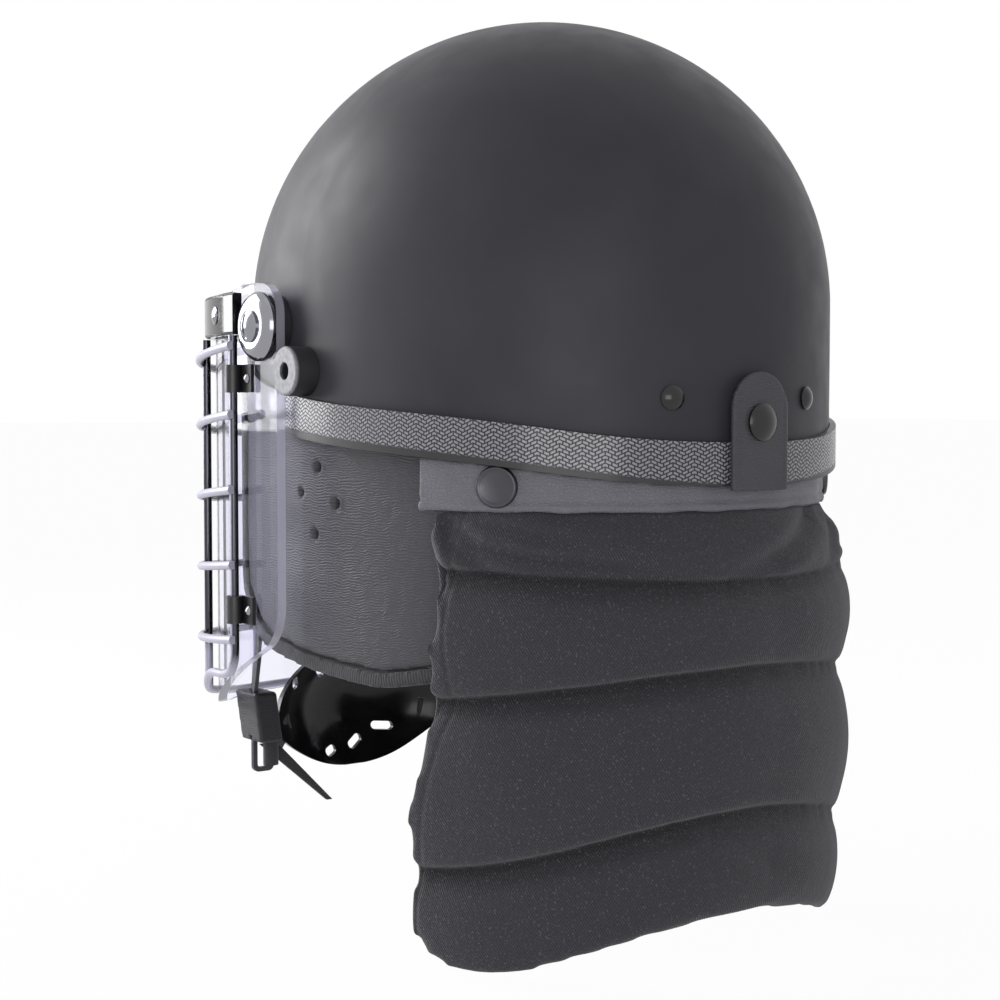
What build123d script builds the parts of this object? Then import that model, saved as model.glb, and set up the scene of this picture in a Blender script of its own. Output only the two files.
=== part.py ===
from build123d import *
import math
import os

os.makedirs("parts", exist_ok=True)

# Police riot helmet. +Z is up, the face looks along -Y, the wearer's left is +X.
# The origin is the centre of the dome's widest level section.

# Shell: a half ellipsoid over an upright skirt.
half_length = 143.0
half_width = 122.0
crown_height = 128.0
shell_wall = 3.2
skirt_depth = 90.0

# Rim of the shell in side view, from the back of the head to the brow.
rim_back_height = -72.0
rim_rear_height = -65.0
rim_ear_height = -54.5
rim_temple_height = -43.0
rim_brow_height = -19.0
rim_rear_share = 0.78
rim_ear_share = 0.10
rim_temple_share = -0.34
rim_side_brow_share = -0.62

# Clearance between pieces, and one overrun for all cuts.
clearance = 0.3
overrun = 20.0

# Edge trim: a moulded channel round the rim.
trim_height = 14.0
trim_lip = 3.0
trim_wall = 2.6
trim_inner_wall = 2.0

# Foam liner and its comfort pads.
liner_thickness = 16.0
liner_rim_rise = 16.0
pad_thickness = 8.0
crown_pad_radius = 46.0
side_pad_length = 92.0
end_pad_width = 104.0
pad_height = 40.0
pad_base_height = -26.0
pad_corner_radius = 9.0

# Face shield: a clear sheet, half round in plan, with an ear at each pivot.
shield_radius = 130.2
shield_sheet = 4.0
shield_centre_y = -30.0
pivot_y = -21.0
pivot_z = -9.0
ear_reach = 14.4
ear_rise = 18.5
ear_round = 14.0
ear_foot_round = 6.0
shield_top = 7.0
shield_corner_height = -141.0
shield_corner_radius = 22.0
shield_bend_y = -96.0
shield_bend_height = -182.0
shield_bend_radius = 60.0
shield_bottom = -189.0

# Pivot hardware; a pocket in the foam clears what stands inside the shell.
pocket_clearance = 1.0
screw_head_radius = 7.0
screw_head_height = 3.2
screw_shank_radius = 3.0
screw_slot_width = 1.6
screw_slot_depth = 1.4
cup_radius = 14.8
cup_flat_radius = 8.4
cup_height = 4.6
cup_lip = 1.2
spacer_radius = 13.5
nut_radius = 7.5
nut_thickness = 4.0
nut_seat_gap = 1.4

# Rubber stops that the shield's rear edge closes on.
stop_radius = 10.3
stop_y = 4.0
stop_z = -28.3
stop_outer_x = 132.6
stop_bore_radius = 3.7
stop_bore_depth = 7.0
stop_edge_round = 1.2
stop_screw_radius = 2.0
stop_screw_head_radius = 4.5
stop_screw_head = 2.2

# Brow bar along the top of the face shield.
bar_height = 18.0
bar_thickness = 4.8
bar_bottom = -12.0
bar_end_y = -36.8
bar_edge_round = 1.4
bar_rivet_radius = 4.0
bar_rivet_height = 1.6
bar_rivet_shank_radius = 2.0
bar_rivet_angles = (12.0, 90.0, 168.0)

# Wire grille.
wire_radius = 1.9
upright_gap = 2.7
weld_depth = 1.0
upright_count = 7
first_upright_angle = 3.0
frame_points = 15
rung_heights = (-16.5, -46.0, -78.5, -111.0, -143.5)
rung_droop = 5.0
rung_overhang = 1.6
frame_bottom = -186.0
frame_corner_height = -148.0

# Clamps that hold the grille to the face shield.
clamp_height = 12.0
upper_clamp_z = -31.0
lower_clamp_z = -131.0
clamp_wall = 1.6
clamp_tongue = 12.0
clamp_screw_share = 0.72
wire_play = 0.1
clamp_screw_radius = 2.2
clamp_screw_shank_radius = 1.2
clamp_screw_head = 1.6

# Ear flaps: flat padded panels that flare forward from the rim.
flap_inset = 6.2
flap_thickness = 7.0
flap_front_y = -88.0
flap_front_x = 103.0
flap_bend_y = -10.0
flap_rear_y = 86.0
flap_rear_inset = 14.5
flap_top = -20.0
flap_front_bottom = -126.0
flap_low_front = -150.0
flap_bottom = -159.0
flap_low_front_y = -62.0
flap_low_y = 38.0
flap_rear_bottom = -150.0
flap_corner_radius = 18.0
flap_low_radius = 60.0
flap_bulge_share = 0.6
flap_hole_radius = 2.6
flap_hole_places = ((1.3, -68.4), (-11.3, -79.9), (13.4, -83.5), (-0.6, -96.9))
binding_width = 6.5
binding_proud = 0.8

# Neck curtain: a vinyl band over a quilted pad.
band_inset = 2.6
band_thickness = 3.0
band_tuck = 6.0
band_bottom = -84.0
band_front_angle = 27.5
pad_front_angle = 32.0
pad_top_front_y = 76.0
pad_low_front_y = 64.0
quilt_inset = 4.5
quilt_sewn = 7.5
quilt_angles = (24.0, 57.0, 90.0, 123.0, 156.0)
quilt_top = -84.3
quilt_front_seams = (-106.0, -157.0, -221.0, -266.0)
quilt_middle_seams = (-109.0, -149.5, -209.0, -251.0)
quilt_rear_seams = (-111.0, -144.5, -199.0, -240.0)
quilt_puffs = (3.6, 5.6, 6.0, 4.4)
quilt_tucks = (1.5, 1.0, 0.0, -3.0)
quilt_corner_radius = 22.0
snap_radius = 8.4
snap_height = 3.4
snap_angle = 42.0
snap_z = -74.2

# Rear rivets and the studs that pass through the shell.
rivet_radius = 4.8
rivet_height = 2.6
rivet_shank_radius = 2.0
rivet_angle = 72.8
rivet_z = -39.5
rivet_washer = 1.0
rivet_seat_gap = 0.3

# Rear tab that buttons over the trim.
tab_width = 29.5
tab_top = -29.0
tab_bottom = -76.0
tab_thickness = 2.4
tab_cap_radius = 7.4
tab_cap_height = 3.4
tab_cap_z = -49.0
tab_gap = 0.6
tab_stud_radius = 3.0

# Chin harness: webbing straps that hang inside the ear flaps.
strap_width = 20.0
strap_thickness = 1.8
strap_depth = 17.2
anchor_z = -14.0
strap_end_x = 91.6
strap_end_y = -98.0
strap_end_z = -171.0
anchor_angle = -27.6
anchor_radius = 4.5
anchor_height = 1.6
strap_pocket_radius = 18.0
strap_pocket_depth = 24.0
keeper_width = 20.0
keeper_height = 24.0
keeper_breadth = 12.0
keeper_lean = 3.5
keeper_overlap = 3.0
keeper_round = 1.2
loop_breadth = 11.0
loop_height = 19.0
loop_bar = 2.2
loop_corner_radius = 3.0
loop_tuck = 4.0
link_width = 11.6
link_thickness = 1.8
link_eye_z = -208.6
link_fold_reach = 39.0
link_fold_y = -113.5
link_fold_z = -199.0
link_fold_radius = 1.6
tail_width = 9.0
tail_rise = 4.0
tail_tip_width = 3.0
tail_tip_x = 50.0
tail_tip_z = -236.0

# Chin cup: a moulded bowl, hung towards the left, where its strap is pulled short.
# Half its outline is (x, height), and its slots are (x, height, length, degrees of tilt).
cup_centre_x = 27.0
cup_axis_y = -62.0
cup_mid_z = -193.0
cup_reach = 66.0
cup_bow = 12.0
cup_shell = 2.4
cup_rim_height = 30.0
cup_tip_rise = 2.0
cup_tip_x = 52.0
cup_shoulder_x = 35.0
cup_shoulder_height = 19.5
cup_belly_x = 15.0
cup_belly_height = 28.5
cup_slot_width = 4.2
cup_slots = (
    (-20.0, -13.5, 11.0, 4.0),
    (-4.0, -20.0, 9.0, -34.0),
    (11.6, -22.8, 7.0, -20.0),
    (35.0, 14.0, 7.0, 62.0),
    (17.0, 18.0, 8.0, 50.0),
    (-3.0, 20.0, 8.0, 10.0),
    (-22.0, 17.0, 8.0, -30.0),
)

cup_side_share = 0.88
cup_rise_share = 0.72
stud_lip_share = 0.25

trim_outer = clearance + trim_wall
trim_inner = shell_wall + clearance + trim_inner_wall


def save(name, solid):
    solid.label = name
    export_step(solid, f"parts/{name}.step")


def dome(margin):
    """The shell's outer form, grown by a margin on every side."""
    long_radius = half_length + margin
    with BuildPart(mode=Mode.PRIVATE) as form:
        with BuildSketch(Plane.XZ):
            with BuildLine():
                EllipticalCenterArc((0, 0), long_radius, crown_height + margin, arc_size=90)
                Line((0, crown_height + margin), (0, -skirt_depth))
                Line((0, -skirt_depth), (long_radius, -skirt_depth))
                Line((long_radius, -skirt_depth), (long_radius, 0))
            make_face()
        revolve(axis=Axis.Z)
        scale(by=((half_width + margin) / long_radius, 1, 1))
    return form.part


def above_rim(rise):
    """Everything above the rim line, raised by a rise."""
    far = half_length + overrun
    rim = [
        (far, rim_back_height + rise),
        (rim_rear_share * half_length, rim_rear_height + rise),
        (rim_ear_share * half_length, rim_ear_height + rise),
        (rim_temple_share * half_length, rim_temple_height + rise),
        (rim_side_brow_share * half_length, (rim_temple_height + rim_brow_height) / 2 + rise),
        (-far, rim_brow_height + rise),
    ]
    top = crown_height + overrun
    with BuildPart(mode=Mode.PRIVATE) as region:
        with BuildSketch(Plane.YZ):
            with BuildLine():
                Spline(rim, tangents=[(-1, 0), (-1, 0)])
                Polyline(rim[-1], (-far, top), (far, top), rim[0])
            make_face()
        extrude(amount=half_width + overrun, both=True)
    return region.part


def wall_ring(inset, thickness, bottom, top):
    """An upright wall that follows the shell's plan, inset from its outer face."""
    with BuildPart(mode=Mode.PRIVATE) as ring:
        with BuildSketch(Plane.XY.offset(bottom)):
            Ellipse(half_width - inset, half_length - inset)
            Ellipse(half_width - inset - thickness, half_length - inset - thickness, mode=Mode.SUBTRACT)
        extrude(amount=top - bottom)
    return ring.part


def rear_sector(front_angle, bottom, top):
    """The sector behind the ears, from a plan angle on one side to the other."""
    reach = 2 * half_length
    side_x = reach * math.cos(math.radians(front_angle)) * half_width / half_length
    side_y = reach * math.sin(math.radians(front_angle))
    with BuildPart(mode=Mode.PRIVATE) as sector:
        with BuildSketch(Plane.XY.offset(bottom)):
            Polygon((0, 0), (side_x, side_y), (side_x, reach), (-side_x, reach), (-side_x, side_y),
                    align=None)
        extrude(amount=top - bottom)
    return sector.part


def mirrored(solid):
    return mirror(solid, Plane.YZ)


def shell_x(y, inset):
    """Half-width of the upright wall at a place along Y."""
    return (half_width - inset) * math.sqrt(1 - (y / (half_length - inset)) ** 2)


def wall_plane(plan_angle, height, inset):
    """A plane on the upright wall, facing out, at a plan angle from the left ear to the back."""
    turn = math.radians(plan_angle)
    place = ((half_width - inset) * math.cos(turn), (half_length - inset) * math.sin(turn), height)
    outward = (math.cos(turn) / half_width, math.sin(turn) / half_length, 0)
    return Plane(origin=place, x_dir=(0, 0, 1), z_dir=outward)


def shield_plane(plan_angle, height, radius):
    """A plane on an upright round wall about the shield's centre, facing out."""
    turn = math.radians(plan_angle)
    outward = (math.cos(turn), -math.sin(turn), 0)
    place = (radius * math.cos(turn), shield_centre_y - radius * math.sin(turn), height)
    return Plane(origin=place, x_dir=(0, 0, 1), z_dir=outward)


def side_plane(reach, y, height):
    """A plane that faces the wearer's left, for pieces on a crosswise axis."""
    return Plane(origin=(reach, y, height), x_dir=(0, 0, 1), z_dir=(1, 0, 0))


def stud(plane, radius, height, shank_radius, shank_length):
    """A domed head with a thin lip, on a plain shank that runs back through the plane."""
    lip = stud_lip_share * height
    rise = height - lip
    ball = (radius ** 2 + rise ** 2) / (2 * rise)
    half_turn = math.asin(radius / ball) / 2
    crown = (ball * math.sin(half_turn), height - ball + ball * math.cos(half_turn))
    with BuildPart(mode=Mode.PRIVATE) as piece:
        with BuildSketch(Plane.XZ):
            with BuildLine():
                Polyline((0, height), (0, -shank_length), (shank_radius, -shank_length),
                         (shank_radius, 0), (radius, 0), (radius, lip))
                ThreePointArc((radius, lip), crown, (0, height))
            make_face()
        revolve(axis=Axis.Z)
    return piece.part.moved(plane.location)


def rod(plane, radius, length):
    """A round bar that runs back from a plane."""
    with BuildPart(mode=Mode.PRIVATE) as piece:
        with BuildSketch(plane):
            Circle(radius)
        extrude(amount=-length)
    return piece.part


# Shell, drilled for everything that passes through its wall.
anchor_planes = [wall_plane(angle, anchor_z, -rivet_seat_gap) for angle in (anchor_angle, 180 - anchor_angle)]
rivet_planes = [wall_plane(angle, rivet_z, -rivet_seat_gap) for angle in (rivet_angle, 180 - rivet_angle)]
tab_stud_plane = wall_plane(90, tab_cap_z, -rivet_seat_gap)
pivot_planes = [side_plane(half_width, pivot_y, pivot_z), side_plane(-shell_wall, pivot_y, pivot_z)]
rivet_grip = shell_wall + 2 * rivet_seat_gap
pivot_bore = rod(side_plane(shield_radius + overrun, pivot_y, pivot_z), screw_shank_radius + clearance,
                 2 * (shield_radius + overrun))
stop_bore = rod(side_plane(shield_radius + overrun, stop_y, stop_z), stop_screw_radius + clearance,
                2 * (shield_radius + overrun))

with BuildPart() as shell:
    add(dome(0))
    add(dome(-shell_wall), mode=Mode.SUBTRACT)
    add(above_rim(0), mode=Mode.INTERSECT)
    add(pivot_bore, mode=Mode.SUBTRACT)
    add(stop_bore, mode=Mode.SUBTRACT)
    for plane in anchor_planes + rivet_planes + [tab_stud_plane]:
        add(rod(plane, rivet_shank_radius + clearance, overrun), mode=Mode.SUBTRACT)
save("shell", shell.part)

with BuildPart() as groove:
    add(dome(clearance))
    add(dome(-shell_wall - clearance), mode=Mode.SUBTRACT)
    add(above_rim(-clearance), mode=Mode.INTERSECT)

with BuildPart() as edge_trim:
    add(dome(trim_outer))
    add(dome(-trim_inner), mode=Mode.SUBTRACT)
    add(above_rim(-trim_lip), mode=Mode.INTERSECT)
    add(above_rim(trim_height), mode=Mode.SUBTRACT)
    add(groove.part, mode=Mode.SUBTRACT)
save("edge_trim", edge_trim.part)

liner_inset = shell_wall + clearance
with BuildPart() as impact_liner:
    add(dome(-liner_inset))
    add(dome(-liner_inset - liner_thickness), mode=Mode.SUBTRACT)
    add(above_rim(liner_rim_rise), mode=Mode.INTERSECT)
    nut_room = nut_radius + pocket_clearance
    nut_depth = nut_seat_gap + nut_thickness + pocket_clearance
    for y, z in ((pivot_y, pivot_z), (stop_y, stop_z)):
        reach = shell_x(y, shell_wall) - nut_depth
        add(rod(side_plane(half_width, y, z), nut_room, half_width - reach), mode=Mode.SUBTRACT)
        add(rod(side_plane(-reach, y, z), nut_room, half_width - reach), mode=Mode.SUBTRACT)
    for plane in rivet_planes + [tab_stud_plane]:
        add(rod(plane, rivet_radius + pocket_clearance, rivet_grip + nut_depth), mode=Mode.SUBTRACT)
    for plane in anchor_planes:
        add(rod(plane, strap_pocket_radius, strap_pocket_depth), mode=Mode.SUBTRACT)
save("impact_liner", impact_liner.part)

pad_inset = liner_inset + liner_thickness + clearance
with BuildPart() as pad_layer:
    add(dome(-pad_inset))
    add(dome(-pad_inset - pad_thickness), mode=Mode.SUBTRACT)


def comfort_pad(face, width, height, middle, reach):
    """A pad cut from the comfort layer by a rounded rectangle seen from one side."""
    with BuildPart(mode=Mode.PRIVATE) as pad:
        with BuildSketch(face):
            with Locations((0, middle)):
                RectangleRounded(width, height, pad_corner_radius)
        extrude(amount=reach)
        add(pad_layer.part, mode=Mode.INTERSECT)
    return pad.part


pad_middle = pad_base_height + pad_height / 2
front_pad_middle = rim_brow_height + liner_rim_rise + pad_height / 2
save("brow_pad", comfort_pad(Plane.XZ, end_pad_width, pad_height, front_pad_middle, half_length))
save("rear_pad", comfort_pad(-Plane.XZ, end_pad_width, pad_height, pad_middle, half_length))
side_pad = comfort_pad(Plane.YZ, side_pad_length, pad_height, pad_middle, half_width)
save("side_pad_left", side_pad)
save("side_pad_right", mirrored(side_pad))

with BuildPart() as crown_pad:
    with BuildSketch(Plane.XY):
        Circle(crown_pad_radius)
    extrude(amount=crown_height)
    add(pad_layer.part, mode=Mode.INTERSECT)
save("crown_pad", crown_pad.part)

# Face shield.
shield_inner = shield_radius - shield_sheet
shield_rear_y = pivot_y + ear_reach
far_front = shield_centre_y - shield_radius - overrun
shield_side = [
    (far_front, shield_top),
    (pivot_y - 2 * ear_reach, shield_top),
    (pivot_y - ear_reach, pivot_z + ear_rise),
    (shield_rear_y, pivot_z + ear_rise),
    (shield_rear_y, shield_corner_height),
    (shield_bend_y, shield_bend_height),
    (far_front, shield_bottom),
]
shield_rounds = [ear_foot_round, ear_foot_round, ear_round, shield_corner_radius, shield_bend_radius]


def shield_wall(outer, inner, bottom, top, rear_y):
    """A wall that is half round in front and runs straight back to rear_y."""
    with BuildPart(mode=Mode.PRIVATE) as wall:
        for radius, how in ((outer, Mode.ADD), (inner, Mode.SUBTRACT)):
            with BuildSketch(Plane.XY.offset(bottom)):
                with BuildLine():
                    ThreePointArc((-radius, shield_centre_y), (0, shield_centre_y - radius),
                                  (radius, shield_centre_y))
                    Polyline((radius, shield_centre_y), (radius, rear_y), (-radius, rear_y),
                             (-radius, shield_centre_y))
                make_face()
            extrude(amount=top - bottom, mode=how)
    return wall.part


bar_rivet_z = bar_bottom + bar_height / 2
bar_outer = shield_radius + bar_thickness
bar_rivet_shank = bar_thickness + shield_sheet

with BuildPart() as face_shield:
    add(shield_wall(shield_radius, shield_inner, shield_bottom, pivot_z + ear_rise, shield_rear_y))
    with BuildSketch(Plane.YZ):
        with BuildLine():
            FilletPolyline(*shield_side, radius=shield_rounds)
            Line(shield_side[-1], shield_side[0])
        make_face()
    extrude(amount=shield_radius + overrun, both=True, mode=Mode.INTERSECT)
    add(pivot_bore, mode=Mode.SUBTRACT)
    for angle in bar_rivet_angles:
        add(rod(shield_plane(angle, bar_rivet_z, bar_outer), bar_rivet_shank_radius + clearance,
                bar_rivet_shank + overrun / 2), mode=Mode.SUBTRACT)
save("face_shield", face_shield.part)

# Brow bar and its rivets.
with BuildPart() as brow_bar:
    with BuildSketch(Plane.XY.offset(bar_bottom)):
        with Locations((0, shield_centre_y)):
            Circle(bar_outer)
            Circle(shield_radius + clearance, mode=Mode.SUBTRACT)
        with Locations((0, bar_end_y)):
            Rectangle(3 * bar_outer, 3 * bar_outer, align=(Align.CENTER, Align.MAX), mode=Mode.INTERSECT)
    extrude(amount=bar_height)
    outer_edges = brow_bar.edges().filter_by(GeomType.CIRCLE).group_by(SortBy.RADIUS)[-1]
    fillet(outer_edges, bar_edge_round)
    for angle in bar_rivet_angles:
        add(rod(shield_plane(angle, bar_rivet_z, bar_outer + overrun / 2),
                bar_rivet_shank_radius + clearance, bar_rivet_shank + overrun), mode=Mode.SUBTRACT)
save("brow_bar", brow_bar.part)

with BuildPart() as bar_rivets:
    for angle in bar_rivet_angles:
        add(stud(shield_plane(angle, bar_rivet_z, bar_outer), bar_rivet_radius, bar_rivet_height,
                 bar_rivet_shank_radius, bar_rivet_shank))
save("brow_bar_rivets", bar_rivets.part)

# Wire grille: uprights, rungs welded outside them, and a wire round the lower edge.
upright_ring = shield_radius + upright_gap + wire_radius
rung_ring = upright_ring + 2 * wire_radius - weld_depth
last_upright_angle = 180 - first_upright_angle
upright_step = (last_upright_angle - first_upright_angle) / (upright_count - 1)
upright_angles = [first_upright_angle + upright_step * index for index in range(upright_count)]


def frame_height(plan_angle):
    """Height of the lower wire, which falls from the cheeks and runs level in front."""
    from_side = min(plan_angle, 180 - plan_angle)
    share = (90 - from_side) / (90 - first_upright_angle)
    return frame_bottom + (frame_corner_height - frame_bottom) * share ** 3


frame_step = (last_upright_angle - first_upright_angle) / (frame_points - 1)
frame_angles = [first_upright_angle + frame_step * index for index in range(frame_points)]
frame_route = [shield_plane(angle, frame_height(angle), upright_ring).origin for angle in frame_angles]
upright_top = bar_bottom - clearance

with BuildPart() as grille:
    for angle in upright_angles:
        foot = shield_plane(angle, upright_top, upright_ring).origin
        add(rod(Plane(origin=foot), wire_radius, upright_top - frame_height(angle)))
    for rung_height in rung_heights:
        lean = math.radians(rung_droop)
        rung_axis = Axis((0, shield_centre_y, rung_height), (0, math.sin(lean), -math.cos(lean)))
        start = math.radians(first_upright_angle - rung_overhang)
        spoke = Vector(math.cos(start), -math.sin(start) * math.cos(lean),
                       -math.sin(start) * math.sin(lean))
        with BuildSketch(Plane(origin=Vector(0, shield_centre_y, rung_height) + spoke * rung_ring,
                               x_dir=spoke, z_dir=rung_axis.direction.cross(spoke))):
            Circle(wire_radius)
        revolve(axis=rung_axis, revolution_arc=180 - 2 * (first_upright_angle - rung_overhang))
    with BuildLine() as frame_path:
        Spline(*frame_route, tangents=[(0, 0, -1), (0, 0, 1)])
    with BuildSketch(Plane(origin=frame_route[0], z_dir=(0, 0, -1))):
        Circle(wire_radius)
    sweep(path=frame_path.line)
save("grille", grille.part)

# Grille clamps: a clip round each end upright, screwed to the face shield.
clamp_depth = upright_gap + 2 * wire_radius + clamp_wall


def grille_clamp(plan_angle, height):
    """A moulded clip: a sleeve round the wire and a flat tongue towards the ear."""
    seat = shield_plane(plan_angle, height - clamp_height / 2, shield_radius)
    outward = seat.z_dir
    floor = Plane(origin=seat.origin, x_dir=outward, z_dir=(0, 0, 1))
    to_ear = clamp_tongue if outward.X > 0 else -clamp_tongue
    wire_place = (upright_ring - shield_radius, 0)
    with BuildPart(mode=Mode.PRIVATE) as clip:
        with BuildSketch(floor):
            with Locations(wire_place):
                Circle(wire_radius + clamp_wall)
            with Locations((clearance + clamp_wall / 2, to_ear / 2)):
                Rectangle(clamp_wall, abs(to_ear))
            with Locations(((clearance + wire_place[0]) / 2, 0)):
                Rectangle(wire_place[0] - clearance, 2 * wire_radius)
            with Locations(wire_place):
                Circle(wire_radius + wire_play, mode=Mode.SUBTRACT)
        extrude(amount=clamp_height)
    return clip.part


def clamp_screw_plane(plan_angle, height):
    """Where the clip's screw head sits, beside the sleeve."""
    seat = shield_plane(plan_angle, height, shield_radius + clearance + clamp_wall)
    side = 1 if seat.z_dir.X > 0 else -1
    along = Vector(0, 0, 1).cross(seat.z_dir) * (side * clamp_tongue * clamp_screw_share)
    return Plane(origin=seat.origin + along, x_dir=(0, 0, 1), z_dir=seat.z_dir)


clamp_angles = (first_upright_angle, last_upright_angle)
for clamp_name, clamp_z in (("upper_clamps", upper_clamp_z), ("lower_clamps", lower_clamp_z)):
    with BuildPart() as clamps:
        for angle in clamp_angles:
            add(grille_clamp(angle, clamp_z))
            add(rod(clamp_screw_plane(angle, clamp_z), clamp_screw_shank_radius + clearance,
                    clamp_wall + clearance), mode=Mode.SUBTRACT)
    save(clamp_name, clamps.part)

with BuildPart() as clamp_screws:
    for angle in clamp_angles:
        for clamp_z in (upper_clamp_z, lower_clamp_z):
            add(stud(clamp_screw_plane(angle, clamp_z), clamp_screw_radius, clamp_screw_head,
                     clamp_screw_shank_radius, clamp_wall))
save("clamp_screws", clamp_screws.part)

# Pivots, from the shell outwards: spacer, ear of the shield, cup washer, screw; a nut inside.
shell_seat_x = shell_x(pivot_y, 0)
nut_seat_x = shell_x(pivot_y, shell_wall)

with BuildPart() as pivot_spacer:
    add(rod(side_plane(shield_inner - clearance, pivot_y, pivot_z), spacer_radius,
            shield_inner - nut_seat_x))
    add(dome(clearance), mode=Mode.SUBTRACT)
    add(pivot_bore, mode=Mode.SUBTRACT)
save("pivot_spacer_left", pivot_spacer.part)
save("pivot_spacer_right", mirrored(pivot_spacer.part))

with BuildPart() as cup_washer:
    with BuildSketch(Plane.XZ):
        with BuildLine():
            Line((cup_radius, 0), (screw_shank_radius + clearance, 0))
            Line((screw_shank_radius + clearance, 0), (screw_shank_radius + clearance, cup_height))
            Line((screw_shank_radius + clearance, cup_height), (cup_flat_radius, cup_height))
            ThreePointArc((cup_flat_radius, cup_height),
                          (cup_side_share * cup_radius, cup_rise_share * cup_height),
                          (cup_radius, cup_lip))
            Line((cup_radius, cup_lip), (cup_radius, 0))
        make_face()
    revolve(axis=Axis.Z)
cup_seat = side_plane(shield_radius + clearance, pivot_y, pivot_z)
cup_left = cup_washer.part.moved(cup_seat.location)
save("pivot_washer_left", cup_left)
save("pivot_washer_right", mirrored(cup_left))

head_seat = side_plane(shield_radius + clearance + cup_height, pivot_y, pivot_z)
nut_face_x = nut_seat_x - nut_seat_gap
with BuildPart() as pivot_screw:
    add(stud(head_seat, screw_head_radius, screw_head_height, screw_shank_radius,
             head_seat.origin.X - nut_face_x + nut_thickness))
    with BuildSketch(side_plane(head_seat.origin.X + screw_head_height, pivot_y, pivot_z)):
        Rectangle(2 * screw_head_radius, screw_slot_width)
    extrude(amount=-screw_slot_depth, mode=Mode.SUBTRACT)
save("pivot_screw_left", pivot_screw.part)
save("pivot_screw_right", mirrored(pivot_screw.part))

with BuildPart() as pivot_nut:
    with BuildSketch(side_plane(nut_face_x, pivot_y, pivot_z)):
        RegularPolygon(nut_radius, 6)
        Circle(screw_shank_radius + wire_play, mode=Mode.SUBTRACT)
    extrude(amount=-nut_thickness)
save("pivot_nut_left", pivot_nut.part)
save("pivot_nut_right", mirrored(pivot_nut.part))

# Rubber stops behind the shield's rear edges, each held by a screw from inside the shell.
stop_inner_x = shell_x(stop_y, shell_wall)
with BuildPart() as visor_stop:
    add(rod(side_plane(stop_outer_x, stop_y, stop_z), stop_radius, stop_outer_x - stop_inner_x))
    fillet(visor_stop.edges().sort_by(Axis.X)[-1], stop_edge_round)
    add(dome(clearance), mode=Mode.SUBTRACT)
    add(rod(side_plane(stop_outer_x, stop_y, stop_z), stop_bore_radius, stop_bore_depth),
        mode=Mode.SUBTRACT)
    add(rod(side_plane(stop_outer_x, stop_y, stop_z), stop_screw_radius + wire_play, stop_outer_x),
        mode=Mode.SUBTRACT)
save("visor_stop_left", visor_stop.part)
save("visor_stop_right", mirrored(visor_stop.part))

stop_screw_seat = Plane(origin=(stop_inner_x - nut_seat_gap, stop_y, stop_z), x_dir=(0, 0, 1),
                        z_dir=(-1, 0, 0))
stop_screw = stud(stop_screw_seat, stop_screw_head_radius, stop_screw_head, stop_screw_radius,
                  stop_outer_x - stop_bore_depth - stop_inner_x)
save("stop_screw_left", stop_screw)
save("stop_screw_right", mirrored(stop_screw))

# Rear rivets.
with BuildPart() as rear_rivets:
    for plane in rivet_planes:
        add(stud(plane, rivet_radius, rivet_height, rivet_shank_radius, rivet_grip))
        add(rod(plane.offset(-rivet_grip), rivet_radius, rivet_washer))
save("rear_rivets", rear_rivets.part)


# Ear flaps: padded vinyl panels hung inside the rim, bound along their free edges.
flap_outline = [
    (flap_rear_y, flap_top),
    (flap_rear_y, flap_rear_bottom),
    (flap_low_y, flap_bottom),
    (flap_low_front_y, flap_low_front),
    (flap_front_y, flap_front_bottom),
    (flap_front_y, flap_top),
]
flap_rounds = [flap_corner_radius, flap_low_radius, flap_low_radius, flap_corner_radius]
rim_zone = above_rim(-trim_lip - clearance)
rim_inside = dome(-trim_inner - clearance)
liner_zone = above_rim(liner_rim_rise - clearance)


def flap_panel(proud, shrink):
    """The left flap, thicker by a proud amount on both faces and drawn in by a shrink."""
    flare_y = (flap_bend_y + flap_front_y) / 2
    bend_x = shell_x(flap_bend_y, flap_inset) + proud
    flare_x = flap_front_x + (bend_x - flap_front_x) * flap_bulge_share + proud
    rear_mid_y = (flap_rear_y + flap_bend_y) / 2
    rear_mid_inset = (flap_rear_inset + flap_inset) / 2
    face = [
        (shell_x(flap_rear_y, flap_rear_inset) + proud, flap_rear_y),
        (shell_x(rear_mid_y, rear_mid_inset) + proud, rear_mid_y),
        (bend_x, flap_bend_y),
        (flare_x, flare_y),
        (flap_front_x + proud, flap_front_y),
    ]
    depth = flap_thickness + 2 * proud
    back = [(x - depth, y) for x, y in face]
    with BuildPart(mode=Mode.PRIVATE) as panel:
        with BuildSketch(Plane.XY.offset(flap_bottom)):
            with BuildLine():
                ThreePointArc(*face[:3])
                ThreePointArc(*face[2:])
                Line(face[-1], back[-1])
                ThreePointArc(*back[2:])
                ThreePointArc(*back[:3])
                Line(back[0], face[0])
            make_face()
        extrude(amount=flap_top - flap_bottom)
        with BuildSketch(Plane.YZ):
            with BuildLine():
                FilletPolyline(*flap_outline, radius=flap_rounds)
                Line(flap_outline[-1], flap_outline[0])
            make_face()
            if shrink:
                offset(amount=-shrink, kind=Kind.INTERSECTION)
        extrude(amount=half_width, mode=Mode.INTERSECT)
    return panel.part


with BuildPart() as rim_clash:
    add(rim_zone)
    add(rim_inside, mode=Mode.SUBTRACT)

with BuildPart() as flap_holes:
    for hole_y, hole_z in flap_hole_places:
        add(rod(side_plane(half_width, hole_y, hole_z), flap_hole_radius, overrun * 2))

with BuildPart() as ear_flap:
    add(flap_panel(0, binding_width))
    add(rim_clash.part, mode=Mode.SUBTRACT)
    add(liner_zone, mode=Mode.SUBTRACT)
    add(flap_holes.part, mode=Mode.SUBTRACT)
save("ear_flap_left", ear_flap.part)
save("ear_flap_right", mirrored(ear_flap.part))

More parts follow.
